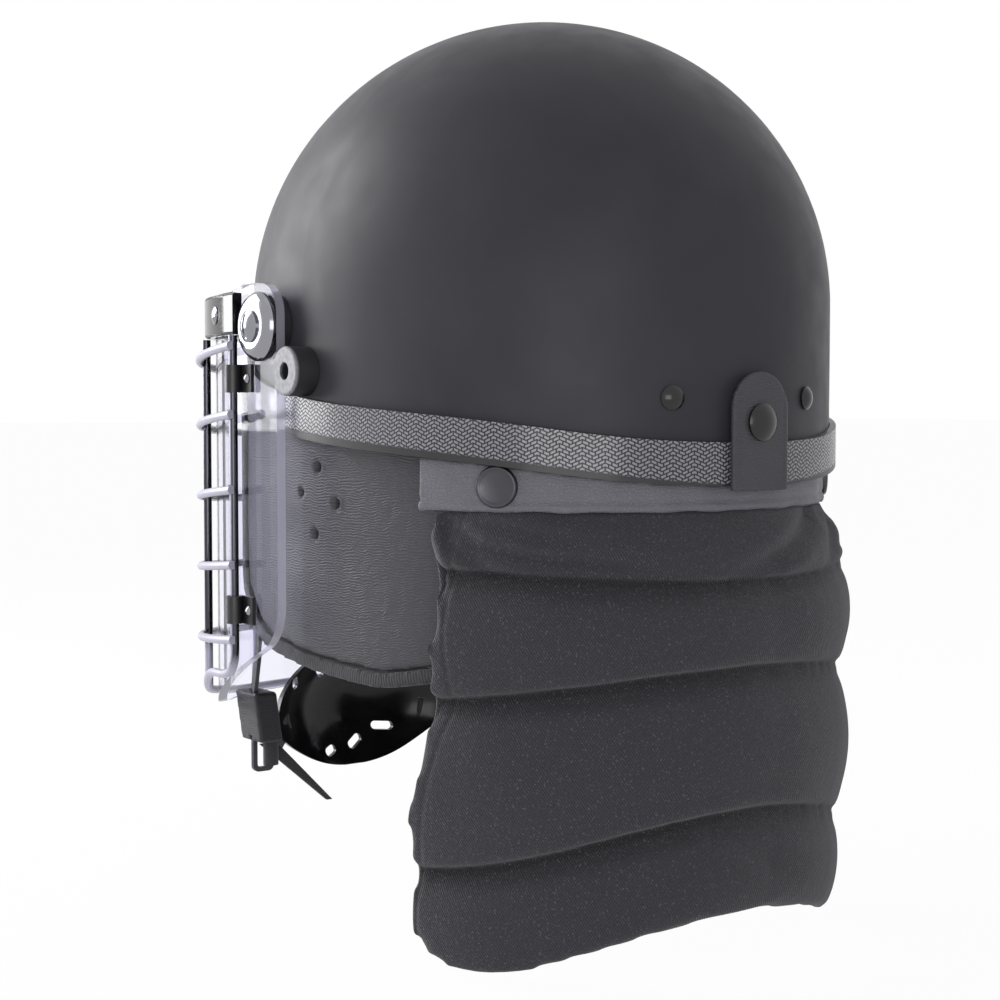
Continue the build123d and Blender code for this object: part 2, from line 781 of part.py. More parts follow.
with BuildPart() as ear_binding:
    add(flap_panel(binding_proud, 0))
    add(flap_panel(overrun / 2, binding_width - clearance), mode=Mode.SUBTRACT)
    add(rim_clash.part, mode=Mode.SUBTRACT)
    add(liner_zone, mode=Mode.SUBTRACT)
save("ear_binding_left", ear_binding.part)
save("ear_binding_right", mirrored(ear_binding.part))

# Neck curtain: a vinyl band that hangs from the trim's lower lip, and the quilted pad below it.
with BuildPart() as neck_band:
    add(wall_ring(band_inset, band_thickness, band_bottom, rim_ear_height))
    add(rear_sector(band_front_angle, band_bottom, rim_ear_height), mode=Mode.INTERSECT)
    add(above_rim(-trim_lip - clearance), mode=Mode.SUBTRACT)
save("neck_band", neck_band.part)



def quilt_section(angle, seams):
    """The quilt cut by an upright plane through the middle: three puffs and a top roll over a flat back."""
    turn = math.radians(angle)
    wall_point = Vector(half_width * math.cos(turn), half_length * math.sin(turn), 0)
    plane = Plane(origin=(0, 0, 0), x_dir=wall_point.normalized(),
                  z_dir=wall_point.normalized().cross(Vector(0, 0, 1)))
    outer = wall_point.length - quilt_inset
    knots = [(outer, quilt_top)] + [(outer + tuck, z) for tuck, z in zip(quilt_tucks, seams)]
    with BuildSketch(plane, mode=Mode.PRIVATE) as section:
        with BuildLine():
            for upper, lower, puff in zip(knots, knots[1:], quilt_puffs):
                middle = ((upper[0] + lower[0]) / 2 + puff, (upper[1] + lower[1]) / 2)
                ThreePointArc(upper, middle, lower)
            Polyline(knots[-1], (knots[-1][0] - quilt_sewn, knots[-1][1]),
                     (outer - quilt_sewn, quilt_top), knots[0])
        make_face()
    return section.sketch


quilt_rows = [quilt_front_seams, quilt_middle_seams, quilt_rear_seams, quilt_middle_seams, quilt_front_seams]
pad_top_z = quilt_top + overrun
pad_side_view = [
    (half_length + overrun, quilt_rear_seams[-1]),
    (pad_low_front_y, quilt_front_seams[-1] + clearance),
    (pad_top_front_y, pad_top_z),
    (half_length + overrun, pad_top_z),
]
with BuildPart() as neck_pad:
    loft([quilt_section(angle, seams) for angle, seams in zip(quilt_angles, quilt_rows)])
    with BuildSketch(Plane.YZ):
        with BuildLine():
            FilletPolyline(*pad_side_view[:3], radius=quilt_corner_radius)
            Polyline(*pad_side_view[2:], pad_side_view[0])
        make_face()
    extrude(amount=half_length, both=True, mode=Mode.INTERSECT)
save("neck_pad", neck_pad.part)

with BuildPart() as neck_snaps:
    for angle in (snap_angle, 180 - snap_angle):
        add(stud(wall_plane(angle, snap_z, band_inset - clearance), snap_radius, snap_height,
                 rivet_shank_radius, clearance / 2))
save("neck_snaps", neck_snaps.part)

# Rear tab: a vinyl strap, sewn at its foot, that buttons over the trim on a stud in the shell.
tab_back_y = half_length + trim_outer + tab_gap
tab_bore = rod(Plane(origin=(0, half_length + overrun, tab_cap_z), z_dir=(0, 1, 0)),
               tab_stud_radius + clearance, 2 * overrun)
with BuildPart() as rear_tab:
    with BuildSketch(Plane.XZ.offset(-tab_back_y)):
        with Locations((0, tab_top - tab_width / 2)):
            Circle(tab_width / 2)
            Rectangle(tab_width, tab_top - tab_width / 2 - tab_bottom, align=(Align.CENTER, Align.MAX))
    extrude(amount=-tab_thickness)
    add(tab_bore, mode=Mode.SUBTRACT)
save("rear_tab", rear_tab.part)

cap_plane = Plane(origin=(0, tab_back_y + tab_thickness + clearance, tab_cap_z), z_dir=(0, 1, 0))
with BuildPart() as tab_cap:
    add(stud(cap_plane, tab_cap_radius, tab_cap_height, tab_stud_radius, clearance / 2))
save("rear_tab_cap", tab_cap.part)

with BuildPart() as tab_stud:
    add(stud(tab_stud_plane, tab_stud_radius, trim_outer + tab_gap, rivet_shank_radius, rivet_grip))
    add(rod(tab_stud_plane.offset(-rivet_grip), rivet_radius, rivet_washer))
save("rear_snap_stud", tab_stud.part)

# Chin harness: two webbing straps that hang from anchors inside the shell.
anchor_plane = anchor_planes[0]
strap_top = anchor_plane.origin - anchor_plane.z_dir * strap_depth
strap_foot = Vector(strap_end_x, strap_end_y, strap_end_z)
strap_run = (strap_foot - strap_top).normalized()
across = Vector(0, 0, 1).cross(anchor_plane.z_dir).normalized()
strap_face = across.cross(strap_run).normalized()
strap_plane = Plane(origin=(strap_top + strap_foot) / 2, x_dir=strap_run, z_dir=strap_face)
anchor_grip = strap_depth + strap_thickness

with BuildPart() as chin_strap:
    with BuildSketch(strap_plane):
        SlotCenterToCenter((strap_foot - strap_top).length, strap_width)
    extrude(amount=strap_thickness / 2, both=True)
    add(rod(anchor_plane, rivet_shank_radius + clearance, 2 * strap_depth), mode=Mode.SUBTRACT)
save("chin_strap_left", chin_strap.part)
save("chin_strap_right", mirrored(chin_strap.part))

with BuildPart() as strap_anchors:
    for plane in anchor_planes:
        add(stud(plane, anchor_radius, anchor_height, rivet_shank_radius, anchor_grip))
        add(rod(plane.offset(-anchor_grip), anchor_radius, rivet_washer))
save("strap_anchors", strap_anchors.part)

# Keeper: a stiff padded sleeve over the strap's folded end, with a groove for the wire loop.
keeper_top_z = strap_end_z - strap_width / 2 + keeper_overlap
keeper_foot_z = keeper_top_z - keeper_height
loop_x = strap_end_x - keeper_lean
loop_z = keeper_foot_z + loop_tuck - loop_height / 2
loop_plane = Plane(origin=(loop_x, strap_end_y, loop_z), x_dir=(1, 0, 0), z_dir=(0, -1, 0))
keeper_outline = [
    (strap_end_x + keeper_breadth / 2, keeper_top_z),
    (strap_end_x - keeper_breadth / 2, keeper_top_z),
    (loop_x - keeper_breadth / 2, keeper_foot_z),
    (loop_x + keeper_breadth / 2, keeper_foot_z),
]
with BuildPart() as keeper:
    with BuildSketch(Plane.XZ.offset(-strap_end_y)):
        Polygon(*keeper_outline, align=None)
    extrude(amount=keeper_width / 2, both=True)
    fillet(keeper.edges(), keeper_round)
    with BuildSketch(strap_plane):
        SlotCenterToCenter((strap_foot - strap_top).length, strap_width + 2 * clearance)
    extrude(amount=strap_thickness / 2 + clearance, both=True, mode=Mode.SUBTRACT)
    with BuildSketch(loop_plane):
        Rectangle(loop_breadth + 2 * clearance, loop_height + 2 * clearance)
    extrude(amount=loop_bar / 2 + clearance, both=True, mode=Mode.SUBTRACT)
save("strap_keeper_left", keeper.part)
save("strap_keeper_right", mirrored(keeper.part))

with BuildPart() as chin_loop:
    with BuildSketch(loop_plane):
        RectangleRounded(loop_breadth, loop_height, loop_corner_radius)
        RectangleRounded(loop_breadth - 2 * loop_bar, loop_height - 2 * loop_bar,
                         loop_corner_radius / 2, mode=Mode.SUBTRACT)
    extrude(amount=loop_bar / 2, both=True)
save("chin_loop_left", chin_loop.part)
save("chin_loop_right", mirrored(chin_loop.part))

# Links: webbing sewn round each loop's inner leg, run to a slot in the cup's tip and folded there.
link_bore = loop_bar / 2 ** (1 / 2) + clearance
eye_x = loop_x - loop_breadth / 2 + loop_bar / 2
left_eye = Vector(eye_x, strap_end_y, link_eye_z)
right_eye = Vector(-eye_x, strap_end_y, link_eye_z)
left_fold = Vector(cup_centre_x + link_fold_reach, link_fold_y, link_fold_z)
right_fold = Vector(cup_centre_x - link_fold_reach, link_fold_y, link_fold_z)


def link_strap(eye, fold, room):
    """One link's flat run with its folded end, grown by the given room, and its eye when there is no room."""
    run = (fold - eye).normalized()
    face = run.cross(Vector(0, 0, 1)).normalized()
    with BuildPart(mode=Mode.PRIVATE) as link:
        with BuildSketch(Plane(origin=(eye + fold) / 2, x_dir=run, z_dir=face)):
            Rectangle((fold - eye).length, link_width + 2 * room)
        extrude(amount=link_thickness / 2 + room, both=True)
        with BuildSketch(Plane(origin=fold, x_dir=run, z_dir=face.cross(run))):
            Circle(link_fold_radius + room)
        extrude(amount=link_width / 2 + room, both=True)
        if not room:
            with Locations(Location(eye)):
                Cylinder(link_bore + link_thickness, link_width)
                Cylinder(link_bore, 2 * link_width, mode=Mode.SUBTRACT)
    return link.part


save("link_strap_right", link_strap(right_eye, right_fold, 0))

tail_y = strap_end_y - link_bore - link_thickness / 2
with BuildPart() as tailed_link:
    add(link_strap(left_eye, left_fold, 0))
    with BuildSketch(Plane.XZ.offset(-tail_y)):
        Polygon((eye_x + tail_width / 2, link_eye_z + tail_rise),
                (eye_x - tail_width / 2, link_eye_z + tail_rise),
                (tail_tip_x - tail_tip_width / 2, tail_tip_z),
                (tail_tip_x + tail_tip_width / 2, tail_tip_z), align=None)
    extrude(amount=link_thickness / 2, both=True)
save("link_strap_left", tailed_link.part)

# Chin cup: an arched shell turned about an upright axis and trimmed to a rounded outline.
cup_half = [
    (cup_tip_x, cup_tip_rise),
    (cup_shoulder_x, cup_shoulder_height),
    (cup_belly_x, cup_belly_height),
    (-cup_belly_x, cup_belly_height),
    (-cup_shoulder_x, cup_shoulder_height),
    (-cup_tip_x, cup_tip_rise),
    (-cup_shoulder_x, -cup_shoulder_height),
    (-cup_belly_x, -cup_belly_height),
    (cup_belly_x, -cup_belly_height),
    (cup_shoulder_x, -cup_shoulder_height),
]
cup_rim_reach = cup_reach - cup_bow
with BuildPart() as cup_bowl:
    with BuildSketch(Plane.XZ):
        with BuildLine():
            ThreePointArc((cup_rim_reach, -cup_rim_height), (cup_reach, 0), (cup_rim_reach, cup_rim_height))
            Line((cup_rim_reach, cup_rim_height), (cup_rim_reach - cup_shell, cup_rim_height))
            ThreePointArc((cup_rim_reach - cup_shell, cup_rim_height), (cup_reach - cup_shell, 0),
                          (cup_rim_reach - cup_shell, -cup_rim_height))
            Line((cup_rim_reach - cup_shell, -cup_rim_height), (cup_rim_reach, -cup_rim_height))
        make_face()
    revolve(axis=Axis.Z)
    with BuildSketch(Plane.XZ):
        with BuildLine():
            Spline(*cup_half, periodic=True)
        make_face()
    extrude(amount=cup_reach + overrun, mode=Mode.INTERSECT)
    with BuildSketch(Plane.XZ):
        for slot_x, slot_height, slot_length, slot_tilt in cup_slots:
            with Locations((slot_x, slot_height)):
                SlotOverall(slot_length, cup_slot_width, rotation=slot_tilt)
    extrude(amount=cup_reach + overrun, mode=Mode.SUBTRACT)

with BuildPart() as chin_cup:
    add(cup_bowl.part.moved(Location((cup_centre_x, cup_axis_y, cup_mid_z))))
    add(link_strap(left_eye, left_fold, clearance), mode=Mode.SUBTRACT)
    add(link_strap(right_eye, right_fold, clearance), mode=Mode.SUBTRACT)
save("chin_cup", chin_cup.part)
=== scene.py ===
import math

import bmesh
import bpy
import numpy as np
from mathutils import Matrix, Vector


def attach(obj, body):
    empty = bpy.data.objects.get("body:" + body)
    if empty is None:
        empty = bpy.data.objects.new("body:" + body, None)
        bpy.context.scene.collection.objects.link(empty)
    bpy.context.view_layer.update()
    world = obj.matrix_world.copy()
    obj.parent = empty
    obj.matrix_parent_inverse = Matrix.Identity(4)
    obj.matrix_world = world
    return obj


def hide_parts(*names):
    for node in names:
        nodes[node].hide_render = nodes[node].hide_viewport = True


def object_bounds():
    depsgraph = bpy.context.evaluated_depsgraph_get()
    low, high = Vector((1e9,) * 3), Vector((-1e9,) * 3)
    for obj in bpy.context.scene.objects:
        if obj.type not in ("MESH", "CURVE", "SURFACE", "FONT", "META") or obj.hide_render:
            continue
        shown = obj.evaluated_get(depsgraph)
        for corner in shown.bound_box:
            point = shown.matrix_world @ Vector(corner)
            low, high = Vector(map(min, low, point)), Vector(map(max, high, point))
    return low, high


# Camera, floor and lamps.
# The helmet is seen from behind its left ear at about eye level, against a plain
# white sweep. The floor lies just under the neck curtain.
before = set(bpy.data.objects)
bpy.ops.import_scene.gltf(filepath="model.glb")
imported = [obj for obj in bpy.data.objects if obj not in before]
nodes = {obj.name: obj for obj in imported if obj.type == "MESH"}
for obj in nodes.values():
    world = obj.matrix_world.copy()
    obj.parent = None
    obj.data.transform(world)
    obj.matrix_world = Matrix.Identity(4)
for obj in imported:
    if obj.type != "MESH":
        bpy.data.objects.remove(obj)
cad_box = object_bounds()
scene = bpy.context.scene
scene.view_settings.view_transform = "Standard"

heading = math.radians(144.0)
tilt = math.radians(3.0)
back = Vector((math.sin(heading) * math.cos(tilt), -math.cos(heading) * math.cos(tilt), math.sin(tilt)))
right = Vector((math.cos(heading), math.sin(heading), 0.0))
distance = 0.850
aim = right * -0.0155 + Vector((0.0, 0.0, -0.086))
up = back.cross(right)
lens = bpy.data.cameras.new("camera")
lens.lens = 66.6
lens.sensor_width = 36.0
lens.clip_start = 0.05
eye = bpy.data.objects.new("camera", lens)
scene.collection.objects.link(eye)
eye.matrix_world = Matrix((
    (right.x, up.x, back.x, 0.0),
    (right.y, up.y, back.y, 0.0),
    (right.z, up.z, back.z, 0.0),
    (0.0, 0.0, 0.0, 1.0),
))
eye.location = aim + back * distance
scene.camera = eye


def paint(red, green, blue):
    """A colour read off the object as 0 to 255, as the shader takes it."""
    values = [value / 255 for value in (red, green, blue)]
    return tuple(v / 12.92 if v < 0.04045 else ((v + 0.055) / 1.055) ** 2.4 for v in values) + (1.0,)


def new_finish(name, colour, roughness, **values):
    """A new material with its plain values set on the shader, its node tree and its shader."""
    material = bpy.data.materials.new(name)
    material.use_nodes = True
    tree = material.node_tree
    shader = tree.nodes["Principled BSDF"]
    shader.inputs["Base Color"].default_value = colour
    shader.inputs["Roughness"].default_value = roughness
    for key, value in values.items():
        shader.inputs[key.replace("_", " ")].default_value = value
    return material, tree, shader


def add_node(tree, kind, **values):
    """A shader node, with its settings and its plain inputs filled in."""
    made = tree.nodes.new(kind)
    for key, value in values.items():
        if hasattr(made, key):
            setattr(made, key, value)
        else:
            made.inputs[key.replace("_", " ")].default_value = value
    return made


def calc(tree, operation, *inputs):
    """A math node fed by sockets or numbers; gives its result."""
    made = add_node(tree, "ShaderNodeMath", operation=operation)
    for index, value in enumerate(inputs):
        if isinstance(value, (int, float)):
            made.inputs[index].default_value = value
        else:
            tree.links.new(value, made.inputs[index])
    return made.outputs[0]


def lamp(name, place, target, width, height, watts):
    """A soft rectangular lamp that looks at a point."""
    light = bpy.data.lights.new(name, "AREA")
    light.shape = "RECTANGLE"
    light.size = width
    light.size_y = height
    light.energy = watts
    made = bpy.data.objects.new(name, light)
    scene.collection.objects.link(made)
    made.location = place
    made.rotation_euler = (Vector(place) - Vector(target)).to_track_quat("Z", "Y").to_euler()


def spot(side, rise, depth):
    """A place given as metres to the camera's right, up, and towards the camera."""
    level = Vector((back.x, back.y, 0.0)).normalized()
    return Vector((0, 0, rise)) + right * side + level * depth


def seen_plainly(tree):
    """1 where a surface is seen, mirrored or looked through, and 0 where it only lights."""
    path = add_node(tree, "ShaderNodeLightPath")
    seen = calc(tree, "MAXIMUM", path.outputs["Is Camera Ray"], path.outputs["Is Glossy Ray"])
    return calc(tree, "MAXIMUM", seen, path.outputs["Is Transmission Ray"])


def blend(tree, share, first, second, output):
    """Mixes two shaders into the output of a tree."""
    either = add_node(tree, "ShaderNodeMixShader")
    tree.links.new(share, either.inputs["Fac"])
    tree.links.new(first, either.inputs[1])
    tree.links.new(second, either.inputs[2])
    tree.links.new(either.outputs[0], tree.nodes[output].inputs["Surface"])


lamp("key_lamp", spot(-1.15, 0.40, -0.40), (0, 0, -0.02), width=0.8, height=1.0, watts=19.0)
lamp("top_lamp", spot(-0.3, 1.3, 0.3), (0, 0, 0), width=0.8, height=0.8, watts=0.2)
lamp("fill_lamp", spot(-0.1, 0.0, 1.6), (0, 0, -0.12), width=1.0, height=0.8, watts=7.0)

world = bpy.data.worlds.new("room")
scene.world = world
world.use_nodes = True
sky = world.node_tree
dim = add_node(sky, "ShaderNodeBackground", Color=(0.97, 0.96, 1.04, 1), Strength=0.30)
bright = add_node(sky, "ShaderNodeBackground", Color=(1, 1, 1, 1), Strength=1.0)
blend(sky, seen_plainly(sky), dim.outputs[0], bright.outputs[0], "World Output")

floor_mesh = bpy.data.meshes.new("floor")
floor_edge = bmesh.new()
bmesh.ops.create_grid(floor_edge, x_segments=1, y_segments=1, size=20.0)
floor_edge.to_mesh(floor_mesh)
floor_edge.free()
floor = bpy.data.objects.new("floor", floor_mesh)
scene.collection.objects.link(floor)
below_curtain = 0.012
floor.location = (0, 0, cad_box[0][2] - below_curtain)
pale, pale_tree, pale_shader = new_finish("floor", paint(253, 253, 253), 0.9, Specular_IOR_Level=0.0)
glow = add_node(pale_tree, "ShaderNodeEmission", Color=(1, 1, 1, 1), Strength=1.0)
glow_share = calc(pale_tree, "MULTIPLY", seen_plainly(pale_tree), 0.97)
blend(pale_tree, glow_share, pale_shader.outputs[0], glow.outputs[0], "Material Output")
floor_mesh.materials.append(pale)


# Shell.
# One moulded dome of dark grey plastic, sprayed with a satin paint that leaves a
# very fine orange peel and a few duller rubbed patches.
def pattern(tree, kind, size_mm, vector=None, **values):
    """A texture at a real size, on the object's own place or on another vector; gives its value."""
    made = add_node(tree, kind, Scale=1000.0 / size_mm, **values)
    if vector is None:
        vector = add_node(tree, "ShaderNodeTexCoord").outputs["Object"]
    tree.links.new(vector, made.inputs["Vector"])
    return made.outputs["Fac"] if "Fac" in made.outputs else made.outputs[0]


def noise(tree, size_mm, detail, vector=None):
    """Soft uneven noise at a real size."""
    return pattern(tree, "ShaderNodeTexNoise", size_mm, vector, Detail=detail)


def spread(tree, value, low, high, start=0.3, end=0.7):
    """Stretches a value between start and end over the range from low to high."""
    made = add_node(tree, "ShaderNodeMapRange", From_Min=start, From_Max=end, To_Min=low, To_Max=high)
    tree.links.new(value, made.inputs["Value"])
    return made.outputs["Result"]


def raise_by(tree, shader, height, depth_mm, strength=1.0):
    """Adds relief to a finish, on top of what it has."""
    bump = add_node(tree, "ShaderNodeBump", Strength=strength, Distance=depth_mm / 1000.0)
    if shader.inputs["Normal"].is_linked:
        tree.links.new(shader.inputs["Normal"].links[0].from_socket, bump.inputs["Normal"])
    tree.links.new(height, bump.inputs["Height"])
    tree.links.new(bump.outputs["Normal"], shader.inputs["Normal"])


def shade_by(tree, shader, value, dark, light):
    """Colours a finish from dark to light by a value."""
    made = add_node(tree, "ShaderNodeMix", data_type="RGBA")
    colours = [socket for socket in made.inputs if socket.type == "RGBA"]
    colours[0].default_value = dark
    colours[1].default_value = light
    tree.links.new(value, made.inputs["Factor"])
    out = [socket for socket in made.outputs if socket.type == "RGBA"][0]
    tree.links.new(out, shader.inputs["Base Color"])


def roughen(tree, shader, value, low, high):
    """Spreads a value over a range of roughness."""
    tree.links.new(spread(tree, value, low, high), shader.inputs["Roughness"])


def object_place(tree):
    """Place on an object in metres: its x, y and z."""
    place = add_node(tree, "ShaderNodeSeparateXYZ")
    tree.links.new(add_node(tree, "ShaderNodeTexCoord").outputs["Object"], place.inputs[0])
    return place.outputs["X"], place.outputs["Y"], place.outputs["Z"]


def dress(material, *names):
    """Gives CAD nodes their finish."""
    for name in names:
        mesh = nodes[name].data
        mesh.materials.clear()
        mesh.materials.append(material)


shell_paint, tree, shader = new_finish("shell_paint", paint(56, 55, 60), 0.4, Specular_IOR_Level=0.14)
shade_by(tree, shader, spread(tree, noise(tree, 45.0, 5.0), 0, 1),
         paint(61, 60, 65), paint(68, 67, 72))
roughen(tree, shader, noise(tree, 14.0, 6.0), 0.4, 0.5)
raise_by(tree, shader, noise(tree, 0.9, 2.0), depth_mm=0.02, strength=0.3)
raise_by(tree, shader, noise(tree, 5.0, 1.0), depth_mm=0.02, strength=0.3)
dress(shell_paint, "shell")


# Rim trim.
# An extruded rubber strip pushed over the shell's edge and glued. Its outside is
# embossed with small dashes in a zigzag, each painted light as a painted highlight,
# and its lower lip is smooth.
rim_radius = 0.135


def rim_place(tree):
    """Place on the helmet as metres round it and metres up."""
    x, y, z = object_place(tree)
    return calc(tree, "MULTIPLY", calc(tree, "ARCTAN2", y, x), rim_radius), z


def paired(tree, first, second):
    """Two values as the flat vector of a pattern."""
    made = add_node(tree, "ShaderNodeCombineXYZ")
    tree.links.new(first, made.inputs[0])
    tree.links.new(second, made.inputs[1])
    return made.outputs[0]


def points(piece):
    """A piece's points in millimetres."""
    flat = np.empty(len(piece.data.vertices) * 3, np.float32)
    piece.data.vertices.foreach_get("co", flat)
    return flat.reshape(-1, 3) * 1000.0


trim_rubber, tree, shader = new_finish("trim_rubber", paint(58, 57, 62), 0.3,
                                       Coat_Weight=0.3, Coat_Roughness=0.15)
along, upward = rim_place(tree)
zigzag_width, zigzag_slope = 0.0042, 0.45
zigzag = calc(tree, "MULTIPLY", calc(tree, "PINGPONG", along, zigzag_width), zigzag_slope)
dash_place = paired(tree, along, calc(tree, "ADD", upward, zigzag))
dashes = add_node(tree, "ShaderNodeTexBrick", offset=0.5, Scale=1.0, Mortar_Size=0.00032,
                  Mortar_Smooth=0.35, Brick_Width=0.0024, Row_Height=0.0015)
tree.links.new(dash_place, dashes.inputs["Vector"])
facing = add_node(tree, "ShaderNodeVectorMath", operation="MULTIPLY")
facing.inputs[1].default_value = (1, 1, 0)
tree.links.new(add_node(tree, "ShaderNodeNewGeometry").outputs["Normal"], facing.inputs[0])
level = add_node(tree, "ShaderNodeVectorMath", operation="LENGTH")
tree.links.new(facing.outputs[0], level.inputs[0])
outside = spread(tree, level.outputs["Value"], 0, 1, 0.9, 0.97)

# The trim's lower edge dips towards the back, so its height follows a curve of y.
lip_top, dashes_start = 0.0030, 0.0038
slice_step, slice_half = 0.01, 0.006
trim_points = points(nodes["edge_trim"]) / 1000.0
lows = []
for y in np.arange(-0.06, 0.14, slice_step):
    near = trim_points[np.abs(trim_points[:, 1] - y) < slice_half]
    lows.append((y, near[:, 2].min()))
fall = np.polyfit(*zip(*lows), 3)
y_place = object_place(tree)[1]
lip_height = float(fall[0])
for term in fall[1:]:
    lip_height = calc(tree, "MULTIPLY_ADD", lip_height, y_place, float(term))
above_lip = spread(tree, calc(tree, "SUBTRACT", upward, lip_height), 0, 1, lip_top, dashes_start)
raised_dash_and_highlight = calc(tree, "MULTIPLY", calc(tree, "SUBTRACT", 1.0, dashes.outputs["Fac"]), outside)
raised_dash_and_highlight = calc(tree, "MULTIPLY", raised_dash_and_highlight, above_lip)
# The raised dashes are painted light over the dark ground, a painted highlight on each dash.
shade_by(tree, shader, raised_dash_and_highlight, paint(25, 24, 28), paint(150, 149, 156))
rub = spread(tree, noise(tree, 9.0, 4.0), 0.0, 0.12)
dull_ground = spread(tree, raised_dash_and_highlight, 0.55, 0.2, 0.0, 1.0)
tree.links.new(calc(tree, "ADD", dull_ground, rub), shader.inputs["Roughness"])
raise_by(tree, shader, raised_dash_and_highlight, depth_mm=0.6, strength=1.0)
dress(trim_rubber, "edge_trim")

# Impact liner.
# Black bead foam moulded to the inside of the shell, with pockets for the nuts and
# the strap anchors.
bead_foam, tree, shader = new_finish("bead_foam", paint(38, 38, 40), 0.8)
beads = pattern(tree, "ShaderNodeTexVoronoi", 3.4, Randomness=0.9)
raise_by(tree, shader, beads, depth_mm=0.5, strength=0.5)
shade_by(tree, shader, spread(tree, beads, 0, 1, 0.2, 0.8), paint(44, 44, 46), paint(30, 30, 32))
dress(bead_foam, "impact_liner")


# Comfort pads.
# Five pads of soft foam in black knitted cloth, stuck inside the liner at the brow,
# the back, the sides and the crown.
def put(piece, places):
    """Moves a piece's points to places in millimetres."""
    piece.data.vertices.foreach_set("co", (places / 1000.0).astype(np.float32).ravel())
    piece.data.update()


def faces_out(piece):
    """The outward direction at each point."""
    flat = np.empty(len(piece.data.vertices) * 3, np.float32)
    piece.data.vertex_normals.foreach_get("vector", flat)
    return flat.reshape(-1, 3)


def settle(piece):
    """Makes what the modifiers give the piece's own mesh."""
    bpy.context.view_layer.update()
    seen_piece = piece.evaluated_get(bpy.context.evaluated_depsgraph_get())
    made = bpy.data.meshes.new_from_object(seen_piece)
    piece.modifiers.clear()
    piece.data = made


def copy_of(name, node, flat_degrees=0.0):
    """A new piece with the form of a CAD solid, its faces joined, and flat runs made one face."""
    form = nodes[node].data.copy()
    form.materials.clear()
    weld = bmesh.new()
    weld.from_mesh(form)
    bmesh.ops.remove_doubles(weld, verts=weld.verts, dist=1e-6)
    if flat_degrees:
        bmesh.ops.dissolve_limit(weld, angle_limit=math.radians(flat_degrees), verts=weld.verts,
                                 edges=weld.edges)
    weld.to_mesh(form)
    weld.free()
    piece = bpy.data.objects.new(name, form)
    scene.collection.objects.link(piece)
    return piece


def skin_of(name, node, face_mm, inset_mm=0.0, smooth=2):
    """A new piece with the form of a CAD solid, in small even faces, drawn in a little."""
    piece = copy_of(name, node)
    even = piece.modifiers.new("even", "REMESH")
    even.mode = "VOXEL"
    even.voxel_size = face_mm / 1000.0
    relax = piece.modifiers.new("relax", "SMOOTH")
    relax.factor = 0.5
    relax.iterations = smooth
    settle(piece)
    if inset_mm:
        put(piece, points(piece) - faces_out(piece) * inset_mm)
    return piece


def fill_out(piece, pressure, most_mm, held=None):
    """Fills the skin until it is taut; no point moves further than a limit, and the held ones stay."""
    start = points(piece)
    filling = piece.modifiers.new("filling", "CLOTH")
    filling.settings.quality = 4
    filling.settings.use_pressure = True
    filling.settings.uniform_pressure_force = pressure
    filling.settings.effector_weights.gravity = 0.0
    last_frame = 20
    filling.point_cache.frame_start = 1
    filling.point_cache.frame_end = last_frame
    if held is not None:
        sewn = piece.vertex_groups.new(name="sewn")
        sewn.add([int(i) for i in np.nonzero(held)[0]], 1.0, "REPLACE")
        filling.settings.vertex_group_mass = "sewn"
    for step in range(1, last_frame + 1):
        scene.frame_set(step)
    settle(piece)
    scene.frame_set(1)
    moved = points(piece) - start
    length = np.linalg.norm(moved, axis=1, keepdims=True)
    put(piece, start + moved * np.minimum(1.0, most_mm / np.maximum(length, 1e-6)))


def refine(piece, times=1):
    """Divides a piece's faces smoothly."""
    finer = piece.modifiers.new("finer", "SUBSURF")
    finer.levels = times
    settle(piece)


def finished(piece, material, body, slot, *replaced):
    """Gives a new piece its finish and its body, and lets it stand for its CAD nodes."""
    piece.data.materials.clear()
    piece.data.materials.append(material)
    piece.data.polygons.foreach_set("use_smooth", [True] * len(piece.data.polygons))
    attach(piece, body)
    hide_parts(*replaced)


pad_cloth, tree, shader = new_finish("knitted_cloth", paint(36, 36, 38), 0.85, Sheen_Weight=0.2)
knit = pattern(tree, "ShaderNodeTexVoronoi", 1.1, Randomness=0.3)
raise_by(tree, shader, knit, depth_mm=0.25, strength=0.7)
shade_by(tree, shader, spread(tree, knit, 0, 1, 0.1, 0.7), paint(42, 42, 45), paint(26, 26, 28))
for node in ("brow_pad", "rear_pad", "side_pad_left", "side_pad_right", "crown_pad"):
    comfort_pad = skin_of(node + "_stuffed", node, face_mm=4.0, inset_mm=1.2)
    fill_out(comfort_pad, pressure=3.0, most_mm=2.0)
    refine(comfort_pad)
    finished(comfort_pad, pad_cloth, "helmet", "comfort_fabric", node)

# Ear flaps.
# Grey grained vinyl over a sheet of foam, hung inside the rim. Four small eyelet
# holes let sound in, each with a raised lip.
flap_holes = ((1.3, -68.4), (-11.3, -79.9), (13.4, -83.5), (-0.6, -96.9))
flap_seam = ((86.0, -20.0), (86.0, -150.0), (38.0, -159.0),
             (-62.0, -150.0), (-88.0, -126.0), (-88.0, -20.0))
flap_fullness, fullness_width = 0.9, 9.0
taped_width = 6.0
eyelet_lip, eyelet_lip_radius = 0.7, 3.5


def to_line(y, z, line):
    """How far points lie from a line of straight runs, and how far along it."""
    nearest = np.full(len(y), 1e9)
    run = np.zeros(len(y))
    before = 0.0
    for (y0, z0), (y1, z1) in zip(line, line[1:]):
        length = math.hypot(y1 - y0, z1 - z0)
        share = np.clip(((y - y0) * (y1 - y0) + (z - z0) * (z1 - z0)) / length ** 2, 0, 1)
        gap = np.hypot(y - y0 - share * (y1 - y0), z - z0 - share * (z1 - z0))
        closer = gap < nearest
        nearest = np.where(closer, gap, nearest)
        run = np.where(closer, before + share * length, run)
        before += length
    return nearest, run


def hump(distance, width):
    """1 at no distance, falling softly to nothing."""
    return np.exp(-(distance / width) ** 2)


